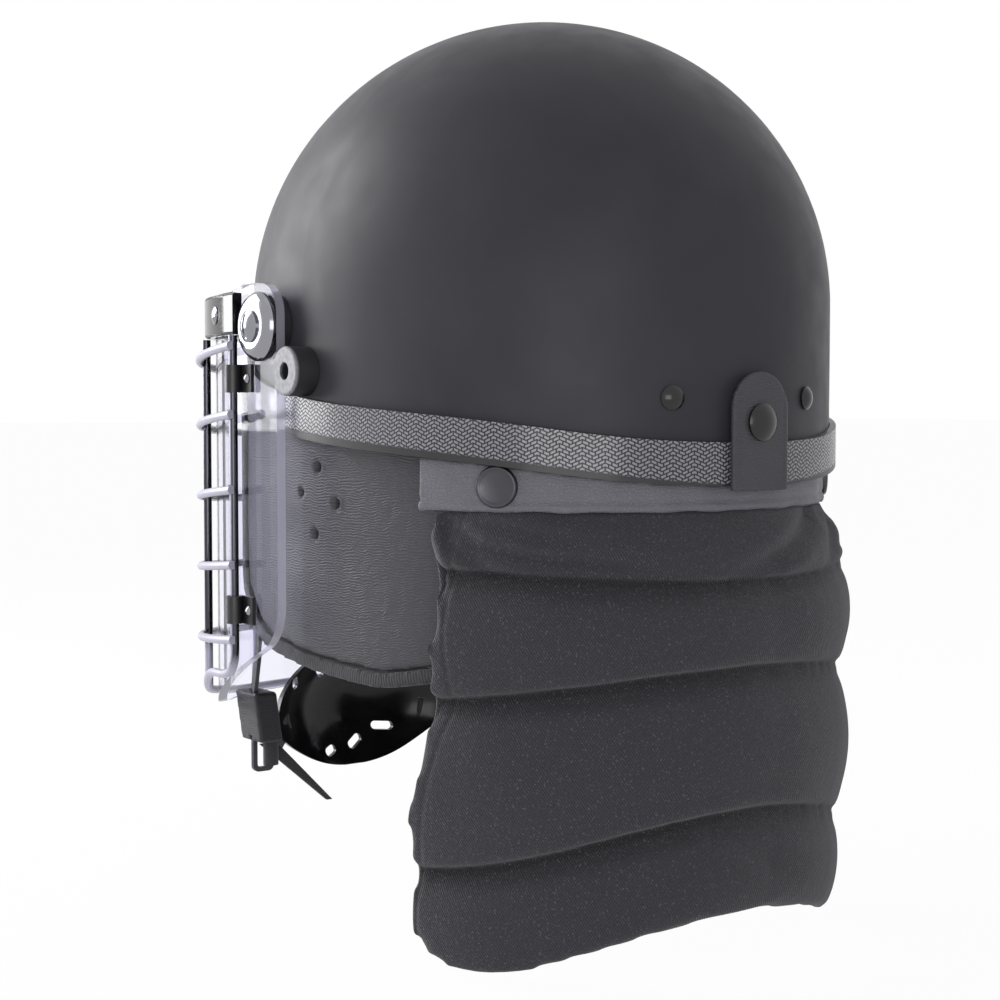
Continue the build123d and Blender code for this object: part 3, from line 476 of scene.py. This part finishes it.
def vinyl(name, colour, ripple_mm, pebbled=False):
    """Soft vinyl with a leather grain, rippled or pebbled."""
    material, tree, shader = new_finish(name, colour, 0.5, Specular_IOR_Level=0.35)
    place = add_node(tree, "ShaderNodeTexCoord").outputs["Object"]
    drift = add_node(tree, "ShaderNodeTexNoise", Scale=1000.0 / (ripple_mm * 5.0), Detail=2.0)
    tree.links.new(place, drift.inputs["Vector"])
    warped = add_node(tree, "ShaderNodeVectorMath", operation="MULTIPLY_ADD")
    tree.links.new(drift.outputs["Color"], warped.inputs[0])
    warped.inputs[1].default_value = [ripple_mm * 0.0032] * 3
    tree.links.new(place, warped.inputs[2])
    ripples = add_node(tree, "ShaderNodeTexWave", bands_direction="Z", Scale=math.pi * 100 / ripple_mm,
                       Distortion=2.5, Detail=2.0, Detail_Scale=1.2)
    tree.links.new(warped.outputs[0], ripples.inputs["Vector"])
    pores = pattern(tree, "ShaderNodeTexVoronoi", 0.9)
    grain = calc(tree, "MULTIPLY", ripples.outputs["Fac"], spread(tree, pores, 0.25, 1.0, 0.0, 0.5))
    if pebbled:
        creases = pattern(tree, "ShaderNodeTexVoronoi", ripple_mm, warped.outputs[0],
                          feature="DISTANCE_TO_EDGE")
        grain = calc(tree, "MULTIPLY_ADD", grain, 0.3, spread(tree, creases, 0, 0.7, 0.0, 0.25))
    raise_by(tree, shader, grain, depth_mm=0.22, strength=0.7)
    dark = tuple(value * 0.86 for value in colour[:3]) + (1.0,)
    light = tuple(value * 1.15 for value in colour[:3]) + (1.0,)
    worn = noise(tree, 30.0, 5.0)
    shade_by(tree, shader, calc(tree, "MULTIPLY", grain, spread(tree, worn, 0.8, 1.2)), dark, light)
    roughen(tree, shader, worn, 0.42, 0.56)
    return material


flap_vinyl = vinyl("ear_flap_vinyl", paint(75, 74, 79), 1.15)
for side in ("left", "right"):
    flap = skin_of("ear_flap_vinyl_" + side, "ear_flap_" + side, face_mm=1.5, smooth=3)
    places = points(flap)
    x, y, z = places.T
    edge_gap = to_line(y, z, flap_seam)[0]
    from_hole = np.min([np.hypot(y - hole_y, z - hole_z) for hole_y, hole_z in flap_holes], axis=0)
    crown = flap_fullness * (1 - np.exp(-np.maximum(edge_gap - taped_width, 0) / fullness_width)) - 0.5
    crown += 0.35 * np.sin(y / 13.0 + z / 21.0) * np.sin(z / 17.0)
    crown += eyelet_lip * hump(from_hole - eyelet_lip_radius, 0.8)
    put(flap, places + faces_out(flap) * crown[:, None])
    finished(flap, flap_vinyl, "helmet", "grey_vinyl", "ear_flap_" + side)


# Flap bindings.
# A ribbed woven tape folded over the flap's free edges and sewn through with one
# row of thread near its inner edge.
def sewn_row(edge_gap, run, inset, depth, width, stitch_mm):
    """How far a row of thread, set in from an edge, moves the surface; deepest at each stitch."""
    return -depth * hump(edge_gap - inset, width) * (0.6 + 0.4 * np.sin(run * math.tau / stitch_mm))


tape_rib_mm = 1.25
tape, tree, shader = new_finish("binding_tape", paint(56, 55, 60), 0.7, Sheen_Weight=0.15)
tape_run = add_node(tree, "ShaderNodeAttribute", attribute_name="run_mm")
rib_turns = calc(tree, "MULTIPLY", tape_run.outputs["Fac"], math.tau / tape_rib_mm)
tape_ribs = spread(tree, calc(tree, "SINE", rib_turns), 0, 1, -1, 1)
raise_by(tree, shader, tape_ribs, depth_mm=0.25, strength=0.8)
raise_by(tree, shader, noise(tree, 0.6, 1.0), depth_mm=0.05, strength=0.5)
shade_by(tree, shader, tape_ribs, paint(34, 33, 37), paint(50, 49, 53))
for side in ("left", "right"):
    binding = skin_of("ear_binding_tape_" + side, "ear_binding_" + side, face_mm=1.1)
    places = points(binding)
    edge_gap, run = to_line(places[:, 1], places[:, 2], flap_seam)
    stitch = sewn_row(edge_gap, run, inset=4.9, depth=0.45, width=0.6, stitch_mm=3.2)
    put(binding, places + faces_out(binding) * stitch[:, None])
    along_tape = binding.data.attributes.new("run_mm", "FLOAT", "POINT")
    along_tape.data.foreach_set("value", run.astype(np.float32))
    finished(binding, tape, "helmet", "binding_tape", "ear_binding_" + side)


# Neck band.
# A strip of the same vinyl that hangs from the trim's lower lip and carries the
# curtain; its lower edge is rolled over the sewn joint.
half_width, half_length = 122.0, 143.0
rolled_edge_z, rolled_seam_z = -82.6, -79.6


def angle_round(places):
    """Degrees round the helmet's oval, from the wearer's left over the back."""
    return np.degrees(np.arctan2(places[:, 1] / half_length, places[:, 0] / half_width))


def ease(value, start, end):
    """0 before the start and 1 past the end."""
    return np.clip((value - start) / (end - start), 0, 1)


band_vinyl = vinyl("neck_band_vinyl", paint(116, 115, 121), 1.3, True)
band = skin_of("neck_band_vinyl", "neck_band", face_mm=1.2)
places = points(band)
around = angle_round(places)
band_wave = 0.35 * np.sin(around * 0.55) * np.sin(places[:, 2] / 6.0 + around * 0.12)
roll = 0.5 * hump(places[:, 2] - rolled_edge_z, 1.2) - 0.6 * hump(places[:, 2] - rolled_seam_z, 0.8)
put(band, places + faces_out(band) * (band_wave + roll)[:, None])
finished(band, band_vinyl, "helmet", "grey_vinyl", "neck_band")

# Neck band snaps.
# Flat pressed caps of dark plated brass that hold the band to the shell.
dark_plate, tree, shader = new_finish("dark_plate", paint(74, 74, 78), 0.3, Metallic=0.85)
roughen(tree, shader, noise(tree, 4.0, 6.0), 0.25, 0.42)
raise_by(tree, shader, noise(tree, 1.6, 3.0), depth_mm=0.03, strength=0.4)
cap_sides = 48
cap_height = 3.4
cap_profile = ((0.0, 1.7), (5.8, 1.75), (6.6, 1.95), (7.2, 2.35),
               (7.9, 2.3), (8.3, 1.8), (8.4, 0.9), (8.4, 0.0))
snap_points = points(nodes["neck_snaps"])
caps = bmesh.new()
for sign in (1, -1):
    own = snap_points[snap_points[:, 0] * sign > 0]
    middle = own.mean(axis=0)
    axis = np.linalg.svd(own - middle, full_matrices=False)[2][2]
    axis = axis * np.sign(axis @ middle)
    seat = middle + axis * (((own - middle) @ axis).max() - cap_height)
    facing_out = Vector(axis).to_track_quat("Z", "Y").to_matrix().to_4x4()
    lie = Matrix.Translation(Vector(seat / 1000.0)) @ facing_out
    rings = []
    for radius, height in cap_profile[1:]:
        ring = []
        for step in range(cap_sides):
            angle = math.tau * step / cap_sides
            point = Vector((radius * math.cos(angle), radius * math.sin(angle), height)) / 1000.0
            ring.append(caps.verts.new(lie @ point))
        rings.append(ring)
    top = caps.verts.new(lie @ Vector((0, 0, cap_profile[0][1] / 1000.0)))
    for step in range(cap_sides):
        beside = (step + 1) % cap_sides
        caps.faces.new((top, rings[0][step], rings[0][beside]))
        for inner, outer_ring in zip(rings, rings[1:]):
            caps.faces.new((inner[step], outer_ring[step], outer_ring[beside], inner[beside]))
cap_mesh = bpy.data.meshes.new("neck_snap_caps")
caps.to_mesh(cap_mesh)
caps.free()
snap_caps = bpy.data.objects.new("neck_snap_caps", cap_mesh)
scene.collection.objects.link(snap_caps)
finished(snap_caps, dark_plate, "helmet", "steel_rivet", "neck_snaps")


# Neck curtain.
# Foam in dark twill, sewn across into soft rolls and hemmed, that hangs from the
# band to cover the neck. The cloth is pulled in at the seams and gathers under the
# band at its front corners.
seam_angles = (24.0, 57.0, 90.0, 123.0, 156.0)
seam_rows = (
    (-107.0, -110.0, -112.2),
    (-160.6, -152.7, -147.5),
    (-228.3, -215.7, -205.1),
)
lower_edge = (-275.8, -260.0, -248.4)
gathers = (
    (((30.5, -83.5), (34.8, -91.2), (39.2, -98.0), (46.2, -101.3), (59.9, -103.4),
      (76.5, -107.0)), 2.6, 3.4),
    (((31.0, -87.0), (34.0, -97.0), (39.0, -104.0), (47.0, -108.5)), 1.6, 2.6),
    (((33.0, -83.5), (40.0, -90.0), (52.0, -95.0), (66.0, -98.0)), 1.4, 3.0),
    (((30.0, -95.0), (31.5, -108.0), (33.0, -122.0)), 1.2, 2.4),
    (((117.0, -84.0), (108.0, -93.0), (97.0, -103.0), (84.0, -109.0)), 2.2, 4.0),
    (((129.0, -88.0), (121.0, -98.0), (112.0, -108.0)), 1.6, 3.4),
    (((150.0, -83.5), (145.0, -92.0), (136.0, -100.0), (122.0, -104.0)), 2.4, 3.4),
    (((78.8, -209.0), (93.1, -224.0), (106.9, -238.0)), 1.0, 6.0),
)
mm_per_degree = 2.3
under_band = -88.0
top_rise = 2.4
fullness, more_on_right = 3.5, 5.0
curl_height, curl_depth = 13.0, 5.0
corner_reach, waist_draw, foot_reach = 8.0, 2.5, 6.0
hang_share, edge_fall_share = 0.065, 1.05
held_front_y, held_by_seam = 70.0, 2.4
stiff_width, stiff_fade = 18.0, 8.0
seam_pull, seam_width = 2.4, 1.7
hem_pull, hem_inset, hem_width = 0.4, 10.5, 0.9


def seam_height(angle, row):
    """Height of a cross seam at each angle round the neck, from its heights on one side."""
    heights = row + row[1::-1]
    return np.polyval(np.polyfit(seam_angles, heights, 4), np.clip(angle, 24, 156))


def front_edge(height):
    """How far back the curtain's front edges lie at a height."""
    return 56.0 + 15.0 * ease(height, -230.0, -160.0)


curtain = skin_of("neck_curtain", "neck_pad", face_mm=3.6, inset_mm=1.0)
places = points(curtain)
x, y, z = places.T

# The top edge goes up behind the band. Below it the cloth stands out, most on the
# right, where the lower edge curls in.
z += top_rise * ease(z, -93.0, -87.0)
around = angle_round(places)
swell = ease(-z, 88.0, 104.0) * (fullness + more_on_right * ease(around, 96.0, 118.0))
edge_gap = np.maximum(z - seam_height(around, lower_edge), 0)
curl = 1 - np.sqrt(1 - np.clip(1 - edge_gap / curl_height, 0, 1) ** 2)
swell -= curl_depth * curl * ease(around, 90.0, 120.0)

# The front edges reach forward round the neck at the top and at the bottom.
ahead = 1.0 + corner_reach * hump(z + 90.0, 20.0) - waist_draw * hump(z + 128.0, 18.0)
ahead += foot_reach * ease(-z, 150.0, 210.0)
turn = np.radians(ahead / mm_per_degree) * (1 - ease(y, 66.0, 96.0)) * np.sign(x)
across = (x * np.cos(turn) / half_width + y * np.sin(turn) / half_length) * (half_width + swell)
y[:] = (y * np.cos(turn) / half_length - x * np.sin(turn) / half_width) * (half_length + swell)
x[:] = across
z -= hang_share * np.maximum(under_band - z, 0)
put(curtain, places)

around = angle_round(places)
sewn = (z > under_band) | (y < held_front_y)
for row in seam_rows:
    sewn |= np.abs(z - seam_height(around, row)) < held_by_seam
fill_out(curtain, pressure=3.5, most_mm=2.4, held=sewn)

# The hemmed edges are stiffer, so they lie calmer than the rolls.
x, y, z = points(curtain).T
rim_gap = np.minimum(y - front_edge(z), z - seam_height(around, lower_edge) * edge_fall_share)
stiff_steps = 8
stiffness = np.clip(np.ceil(stiff_steps * (stiff_width - rim_gap) / stiff_fade), 0, stiff_steps)
edge = curtain.vertex_groups.new(name="edge")
for step in range(1, stiff_steps + 1):
    edge.add([int(i) for i in np.nonzero(stiffness == step)[0]], step / stiff_steps, "REPLACE")
calmer = curtain.modifiers.new("calmer", "SMOOTH")
calmer.vertex_group = "edge"
calmer.factor = 0.5
calmer.iterations = 5
settle(curtain)
refine(curtain, 2)

# The seams pull the outer cloth in. Under each the roll starts deep and swells slowly,
# and there the cloth is painted darker as a painted shadow of the roll above.
places = points(curtain)
x, y, z = places.T
outward = faces_out(curtain)
around = angle_round(places)
outer = np.clip((outward[:, 0] * x / half_width + outward[:, 1] * y / half_length) * 2.0, 0, 1)
quiet = 1 - 0.6 * ease(around, 104.0, 124.0)
fold = np.zeros(len(places))
seam_shadow = np.zeros(len(places))
for row in seam_rows:
    above = z - seam_height(around, row)
    fold += quiet * (0.8 * hump(above - 5.5, 4.0) - seam_pull * hump(above, seam_width))
    fold -= quiet * 1.6 * hump(above + 4.0, 3.8)
    seam_shadow = np.maximum(seam_shadow, hump(above, np.where(above > 0, 1.4, 6.5)))
for line, depth, width in gathers:
    round_line = [(angle * mm_per_degree, height) for angle, height in line]
    gap, run = to_line(around * mm_per_degree, z, round_line)
    fade = np.clip(np.minimum(run / 8.0, (run.max() - run) / (0.35 * run.max())), 0, 1)
    fold += depth * fade * (0.45 * hump(gap - 1.9 * width, width) - 1.3 * hump(gap, width))
fold *= 0.25 + 0.75 * ease(y, 62.0, 74.0)
fold += 0.5 * ease(y, 74.0, 90.0) * np.sin(around / 6.1 + z / 33.0) * np.sin(z / 27.0 + around / 17.0)
hem = -hem_pull * hump(y - front_edge(z) - hem_inset, hem_width)
put(curtain, places + outward * (fold * outer + hem)[:, None])
# The painted shadow under each seam is kept on the cloth's points.
seam_shadow_attribute = curtain.data.attributes.new("seam_shadow_attribute", "FLOAT", "POINT")
seam_shadow_attribute.data.foreach_set("value", (seam_shadow * outer).astype(np.float32))

twill, tree, shader = new_finish("curtain_twill", paint(44, 43, 48), 0.8,
                                 Sheen_Weight=0.25, Specular_IOR_Level=0.25)
along, upward = rim_place(tree)
slant, cord_mm = 0.62, 1.1
cord_place = paired(tree, calc(tree, "ADD", along, calc(tree, "MULTIPLY", upward, slant)), upward)
cords = add_node(tree, "ShaderNodeTexWave", bands_direction="X", Scale=math.pi * 100 / cord_mm,
                 Distortion=0.8, Detail=2.0, Detail_Scale=2.0)
tree.links.new(cord_place, cords.inputs["Vector"])
threads = noise(tree, 0.75, 1.0)
specks = spread(tree, noise(tree, 0.8, 0.0), 0, 1, 0.67, 0.78)
weave = calc(tree, "MULTIPLY", cords.outputs["Fac"], spread(tree, threads, 0.3, 1.0))
raise_by(tree, shader, weave, depth_mm=0.3, strength=0.8)
in_seam_shadow = add_node(tree, "ShaderNodeAttribute", attribute_name="seam_shadow_attribute").outputs["Fac"]
cloth_shade = calc(tree, "MAXIMUM", calc(tree, "MULTIPLY", weave, 0.6), specks)
# Below each seam the cloth is painted darker, a painted shadow of the roll above.
cloth_shade = calc(tree, "MULTIPLY_ADD", in_seam_shadow, -0.36, cloth_shade)
shade_by(tree, shader, spread(tree, cloth_shade, 0, 1, -0.4, 1.0), paint(8, 7, 10), paint(92, 91, 98))
finished(curtain, twill, "helmet", "comfort_fabric", "neck_pad")

# Rear rivets, strap anchors and the tab's cap.
# Domed caps, painted black and polished by handling.
black_plate, tree, shader = new_finish("black_plate", paint(26, 26, 28), 0.2,
                                       Specular_IOR_Level=0.4, Coat_Weight=0.1)
roughen(tree, shader, noise(tree, 3.0, 5.0), 0.12, 0.3)
raise_by(tree, shader, noise(tree, 1.2, 2.0), depth_mm=0.02, strength=0.3)
dress(black_plate, "rear_rivets", "strap_anchors", "rear_tab_cap", "rear_snap_stud")


# Rear tab.
# A strap of plain vinyl sewn at its foot, that folds up over the trim and snaps to
# the shell.
tab_half_width, tab_foot_z = 14.75, -76.0
tab_vinyl = vinyl("tab_vinyl", paint(72, 71, 76), 0.9)
tab = skin_of("rear_tab_vinyl", "rear_tab", face_mm=0.9, smooth=3)
places = points(tab)
tab_edge = np.minimum(tab_half_width - np.abs(places[:, 0]), places[:, 2] - tab_foot_z)
stitch = sewn_row(tab_edge, places[:, 2], inset=2.6, depth=0.35, width=0.5, stitch_mm=3.0)
put(tab, places + faces_out(tab) * stitch[:, None])
finished(tab, tab_vinyl, "rear_tab_strap", "grey_vinyl", "rear_tab")


# Chin harness straps.
# Flat black webbing woven in fine ribs across, riveted inside the shell. The links
# below fold through the wire loops and the chin cup.
def solid_of(name, node, round_mm):
    """A new piece with a CAD solid's flat faces, and its edges rounded."""
    piece = copy_of(name, node, 1.5)
    soften = piece.modifiers.new("rounded", "BEVEL")
    soften.width = round_mm / 1000.0
    soften.segments = 3
    soften.limit_method = "ANGLE"
    soften.angle_limit = math.radians(40)
    settle(piece)
    return piece


webbing, tree, shader = new_finish("webbing", paint(40, 40, 43), 0.75, Sheen_Weight=0.2)
weft_pitch, warp_pitch = 0.0013, 0.0016
y_place, z_place = object_place(tree)[1:]
weft = calc(tree, "SINE", calc(tree, "MULTIPLY", z_place, math.tau / weft_pitch))
warp = calc(tree, "SINE", calc(tree, "MULTIPLY", y_place, math.tau / warp_pitch))
cloth_rib = spread(tree, calc(tree, "MULTIPLY", weft, warp), 0, 1, -1, 1)
raise_by(tree, shader, cloth_rib, depth_mm=0.25, strength=0.8)
shade_by(tree, shader, cloth_rib, paint(28, 28, 30), paint(56, 56, 60))
for node in ("chin_strap_left", "chin_strap_right", "link_strap_left", "link_strap_right"):
    strap = solid_of(node + "_webbing", node, round_mm=0.5)
    finished(strap, webbing, "chin_harness", "webbing", node)

# Strap keepers.
# Folded sleeves of grained vinyl that hold each strap to its wire loop.
keeper_vinyl = vinyl("keeper_vinyl", paint(44, 43, 47), 0.7)
for side in ("left", "right"):
    keeper = skin_of("strap_keeper_vinyl_" + side, "strap_keeper_" + side, face_mm=0.9)
    finished(keeper, keeper_vinyl, "chin_harness", "grey_vinyl", "strap_keeper_" + side)

# Chin loops.
# Wire bent into loops and welded shut, plated dark like the snaps.
dress(dark_plate, "chin_loop_left", "chin_loop_right")

# Chin cup.
# A moulded bowl of hard, glossy black plastic with slots for air and for the link
# straps. Handling leaves faint smears on its gloss.
gloss_black, tree, shader = new_finish("gloss_black", paint(12, 12, 14), 0.13, Specular_IOR_Level=0.25)
smears = noise(tree, 18.0, 6.0)
roughen(tree, shader, smears, 0.1, 0.24)
shade_by(tree, shader, spread(tree, smears, 0, 1), paint(17, 17, 18), paint(26, 26, 28))
raise_by(tree, shader, noise(tree, 8.0, 2.0), depth_mm=0.05, strength=0.3)
dress(gloss_black, "chin_cup")

# Pivot spacers and visor stops.
# Turned black rubber. The outer face of each stop is painted paler round its screw hole, mottled.
rubber, tree, shader = new_finish("black_rubber", paint(38, 38, 41), 0.5)
roughen(tree, shader, noise(tree, 6.0, 5.0), 0.4, 0.6)
raise_by(tree, shader, noise(tree, 0.7, 2.0), depth_mm=0.05, strength=0.5)
dress(rubber, "pivot_spacer_left", "pivot_spacer_right")
stop_face_x, pale_face_depth = 0.1322, 0.0012
stop_rubber, tree, shader = new_finish("stop_rubber", paint(38, 38, 41), 0.5)
sideways = calc(tree, "ABSOLUTE", object_place(tree)[0])
pale_face = spread(tree, sideways, 0, 1, stop_face_x - pale_face_depth, stop_face_x)
face_mottle = noise(tree, 2.2, 6.0)
# The outer face of each stop is painted pale, with a mottle.
shade_by(tree, shader, calc(tree, "MULTIPLY", pale_face, spread(tree, face_mottle, 0.55, 1.0)),
         paint(38, 38, 41), paint(146, 146, 152))
raise_by(tree, shader, face_mottle, depth_mm=0.08, strength=0.5)
dress(stop_rubber, "visor_stop_left", "visor_stop_right")

# Face shield.
# One bent sheet of clear polycarbonate, faintly lavender, with polished edges that
# gather light, painted pale and less clear as a painted highlight, and two ears for the pivots.
bend_middle_y = -0.030
sheet_tint = (0.90, 0.895, 0.985, 1.0)
clear_sheet, tree, shader = new_finish("clear_sheet", sheet_tint, 0.03, Transmission_Weight=1.0,
                                       IOR=1.04, Coat_Weight=0.35, Coat_Roughness=0.03)
haze = noise(tree, 26.0, 5.0)
roughen(tree, shader, haze, 0.01, 0.06)
raise_by(tree, shader, noise(tree, 30.0, 1.0), depth_mm=0.03, strength=0.1)

# The cut edges don't face along the spokes from the middle of the bend.
place = add_node(tree, "ShaderNodeTexCoord")
spoke = add_node(tree, "ShaderNodeVectorMath", operation="MULTIPLY_ADD")
tree.links.new(place.outputs["Object"], spoke.inputs[0])
spoke.inputs[1].default_value = (1.0, 1.0, 0.0)
spoke.inputs[2].default_value = (0.0, -bend_middle_y, 0.0)
unit_spoke = add_node(tree, "ShaderNodeVectorMath", operation="NORMALIZE")
tree.links.new(spoke.outputs[0], unit_spoke.inputs[0])
square_on = add_node(tree, "ShaderNodeVectorMath", operation="DOT_PRODUCT")
tree.links.new(unit_spoke.outputs[0], square_on.inputs[0])
tree.links.new(place.outputs["Normal"], square_on.inputs[1])
painted_edge_glow = spread(tree, calc(tree, "ABSOLUTE", square_on.outputs["Value"]), 1, 0, 0.45, 0.6)
# The cut edges are painted pale and made less clear, a painted highlight for the light they gather.
shade_by(tree, shader, painted_edge_glow, sheet_tint, paint(226, 225, 238))
tree.links.new(spread(tree, painted_edge_glow, 1.0, 0.6, 0, 1), shader.inputs["Transmission Weight"])
dress(clear_sheet, "face_shield")

# Brow bar.
# A rolled aluminium bar, anodised near black and polished, riveted over the sheet.
black_bar, tree, shader = new_finish("black_aluminium", paint(17, 17, 19), 0.12, Specular_IOR_Level=0.35)
rolled = add_node(tree, "ShaderNodeMapping", vector_type="POINT")
rolled.inputs["Scale"].default_value = (1.0, 1.0, 14.0)
tree.links.new(add_node(tree, "ShaderNodeTexCoord").outputs["Object"], rolled.inputs["Vector"])
lines = noise(tree, 9.0, 5.0, rolled.outputs[0])
roughen(tree, shader, lines, 0.07, 0.16)
raise_by(tree, shader, lines, depth_mm=0.02, strength=0.4)
dress(black_bar, "brow_bar")

# Wire grille.
# Steel wire, with the rungs and lower wire welded outside the uprights. The rungs and
# lower wire are painted pale and the uprights dark, painted reflections of the white
# floor and the dark surroundings. A small bright bead of weld stands at each crossing.
uprights_radius = 0.1365
lower_wire_z, uprights_foot_z = -0.158, -0.150
grille_wire, tree, shader = new_finish("grille_wire", paint(60, 60, 66), 0.2, Metallic=0.9)
x_place, y_place, z_place = object_place(tree)
back_square = calc(tree, "POWER", calc(tree, "SUBTRACT", y_place, bend_middle_y), 2.0)
side_square = calc(tree, "POWER", x_place, 2.0)
from_middle = calc(tree, "SQRT", calc(tree, "ADD", side_square, back_square))
rung = spread(tree, from_middle, 0, 1, uprights_radius - 0.0002, uprights_radius + 0.0002)
low = spread(tree, z_place, 1, 0, lower_wire_z, uprights_foot_z)
rungs_painted_reflection = calc(tree, "MAXIMUM", rung, low)
# The rungs and lower wire are painted pale and the uprights dark, a painted reflection.
shade_by(tree, shader, rungs_painted_reflection, paint(70, 70, 76), paint(176, 174, 190))
tree.links.new(spread(tree, rungs_painted_reflection, 1.0, 0.25, 0, 1), shader.inputs["Metallic"])
drawn = noise(tree, 1.6, 5.0)
duller = calc(tree, "MULTIPLY", rungs_painted_reflection, 0.25)
tree.links.new(calc(tree, "ADD", spread(tree, drawn, 0.08, 0.2), duller), shader.inputs["Roughness"])
raise_by(tree, shader, drawn, depth_mm=0.04, strength=0.4)
dress(grille_wire, "grille")

chrome, tree, shader = new_finish("chrome", paint(146, 146, 152), 0.2, Metallic=1.0)
roughen(tree, shader, noise(tree, 2.5, 6.0), 0.06, 0.22)
raise_by(tree, shader, noise(tree, 0.9, 3.0), depth_mm=0.015, strength=0.4)

rung_heights = (-46.0, -78.5, -111.0, -143.5)
weld_radius = 136.3
rung_radius, rung_lean = 136.0, 5.0
rung_dip = rung_radius * math.sin(math.radians(rung_lean))
upright_count, first_upright, upright_step = 7, 3.0, 29.0
frame_bottom, frame_rise = -184.0, 38.0
bead_radius, bead_flatness = 0.0026, 0.85
beads = bmesh.new()
for index in range(upright_count):
    degrees = first_upright + upright_step * index
    angle = math.radians(degrees)
    share = (90 - min(degrees, 180 - degrees)) / (90 - first_upright)
    lowest = frame_bottom + frame_rise * share ** 3
    for height in rung_heights:
        bead_height = height - rung_dip * math.sin(angle)
        if bead_height < lowest:
            continue
        centre = Vector((math.cos(angle) * weld_radius, -math.sin(angle) * weld_radius, bead_height))
        centre = centre / 1000.0 + Vector((0.0, bend_middle_y, 0.0))
        bead = bmesh.ops.create_icosphere(beads, subdivisions=3, radius=bead_radius)["verts"]
        for vertex in bead:
            lumps = math.sin(vertex.co.x * 2100 + index) * math.sin(vertex.co.z * 1700 + height)
            vertex.co *= 1.0 + 0.10 * lumps
            vertex.co.z *= bead_flatness
            vertex.co += centre
bead_mesh = bpy.data.meshes.new("weld_beads")
beads.to_mesh(bead_mesh)
beads.free()
weld_beads = bpy.data.objects.new("weld_beads", bead_mesh)
scene.collection.objects.link(weld_beads)
finished(weld_beads, chrome, "visor", "chromed")

# Grille clamps.
# Moulded black plastic sleeves round the end uprights, each with a flat tongue that
# is screwed to the sheet.
clamp_plastic, tree, shader = new_finish("clamp_plastic", paint(30, 30, 32), 0.35)
roughen(tree, shader, noise(tree, 5.0, 5.0), 0.25, 0.45)
raise_by(tree, shader, noise(tree, 0.5, 2.0), depth_mm=0.03, strength=0.4)
dress(clamp_plastic, "upper_clamps", "lower_clamps")

# Visor fixings.
# Domed washers, slotted screws, nuts and rivets of bright plated steel.
dress(chrome, "pivot_washer_left", "pivot_washer_right", "pivot_screw_left", "pivot_screw_right",
      "pivot_nut_left", "pivot_nut_right", "stop_screw_left", "stop_screw_right", "brow_bar_rivets",
      "clamp_screws")

# Every CAD node's curves are shaded smooth, and its edges stay sharp.
for node in nodes.values():
    node.data.polygons.foreach_set("use_smooth", [True] * len(node.data.polygons))
    node.data.set_sharp_from_angle(angle=math.radians(35))
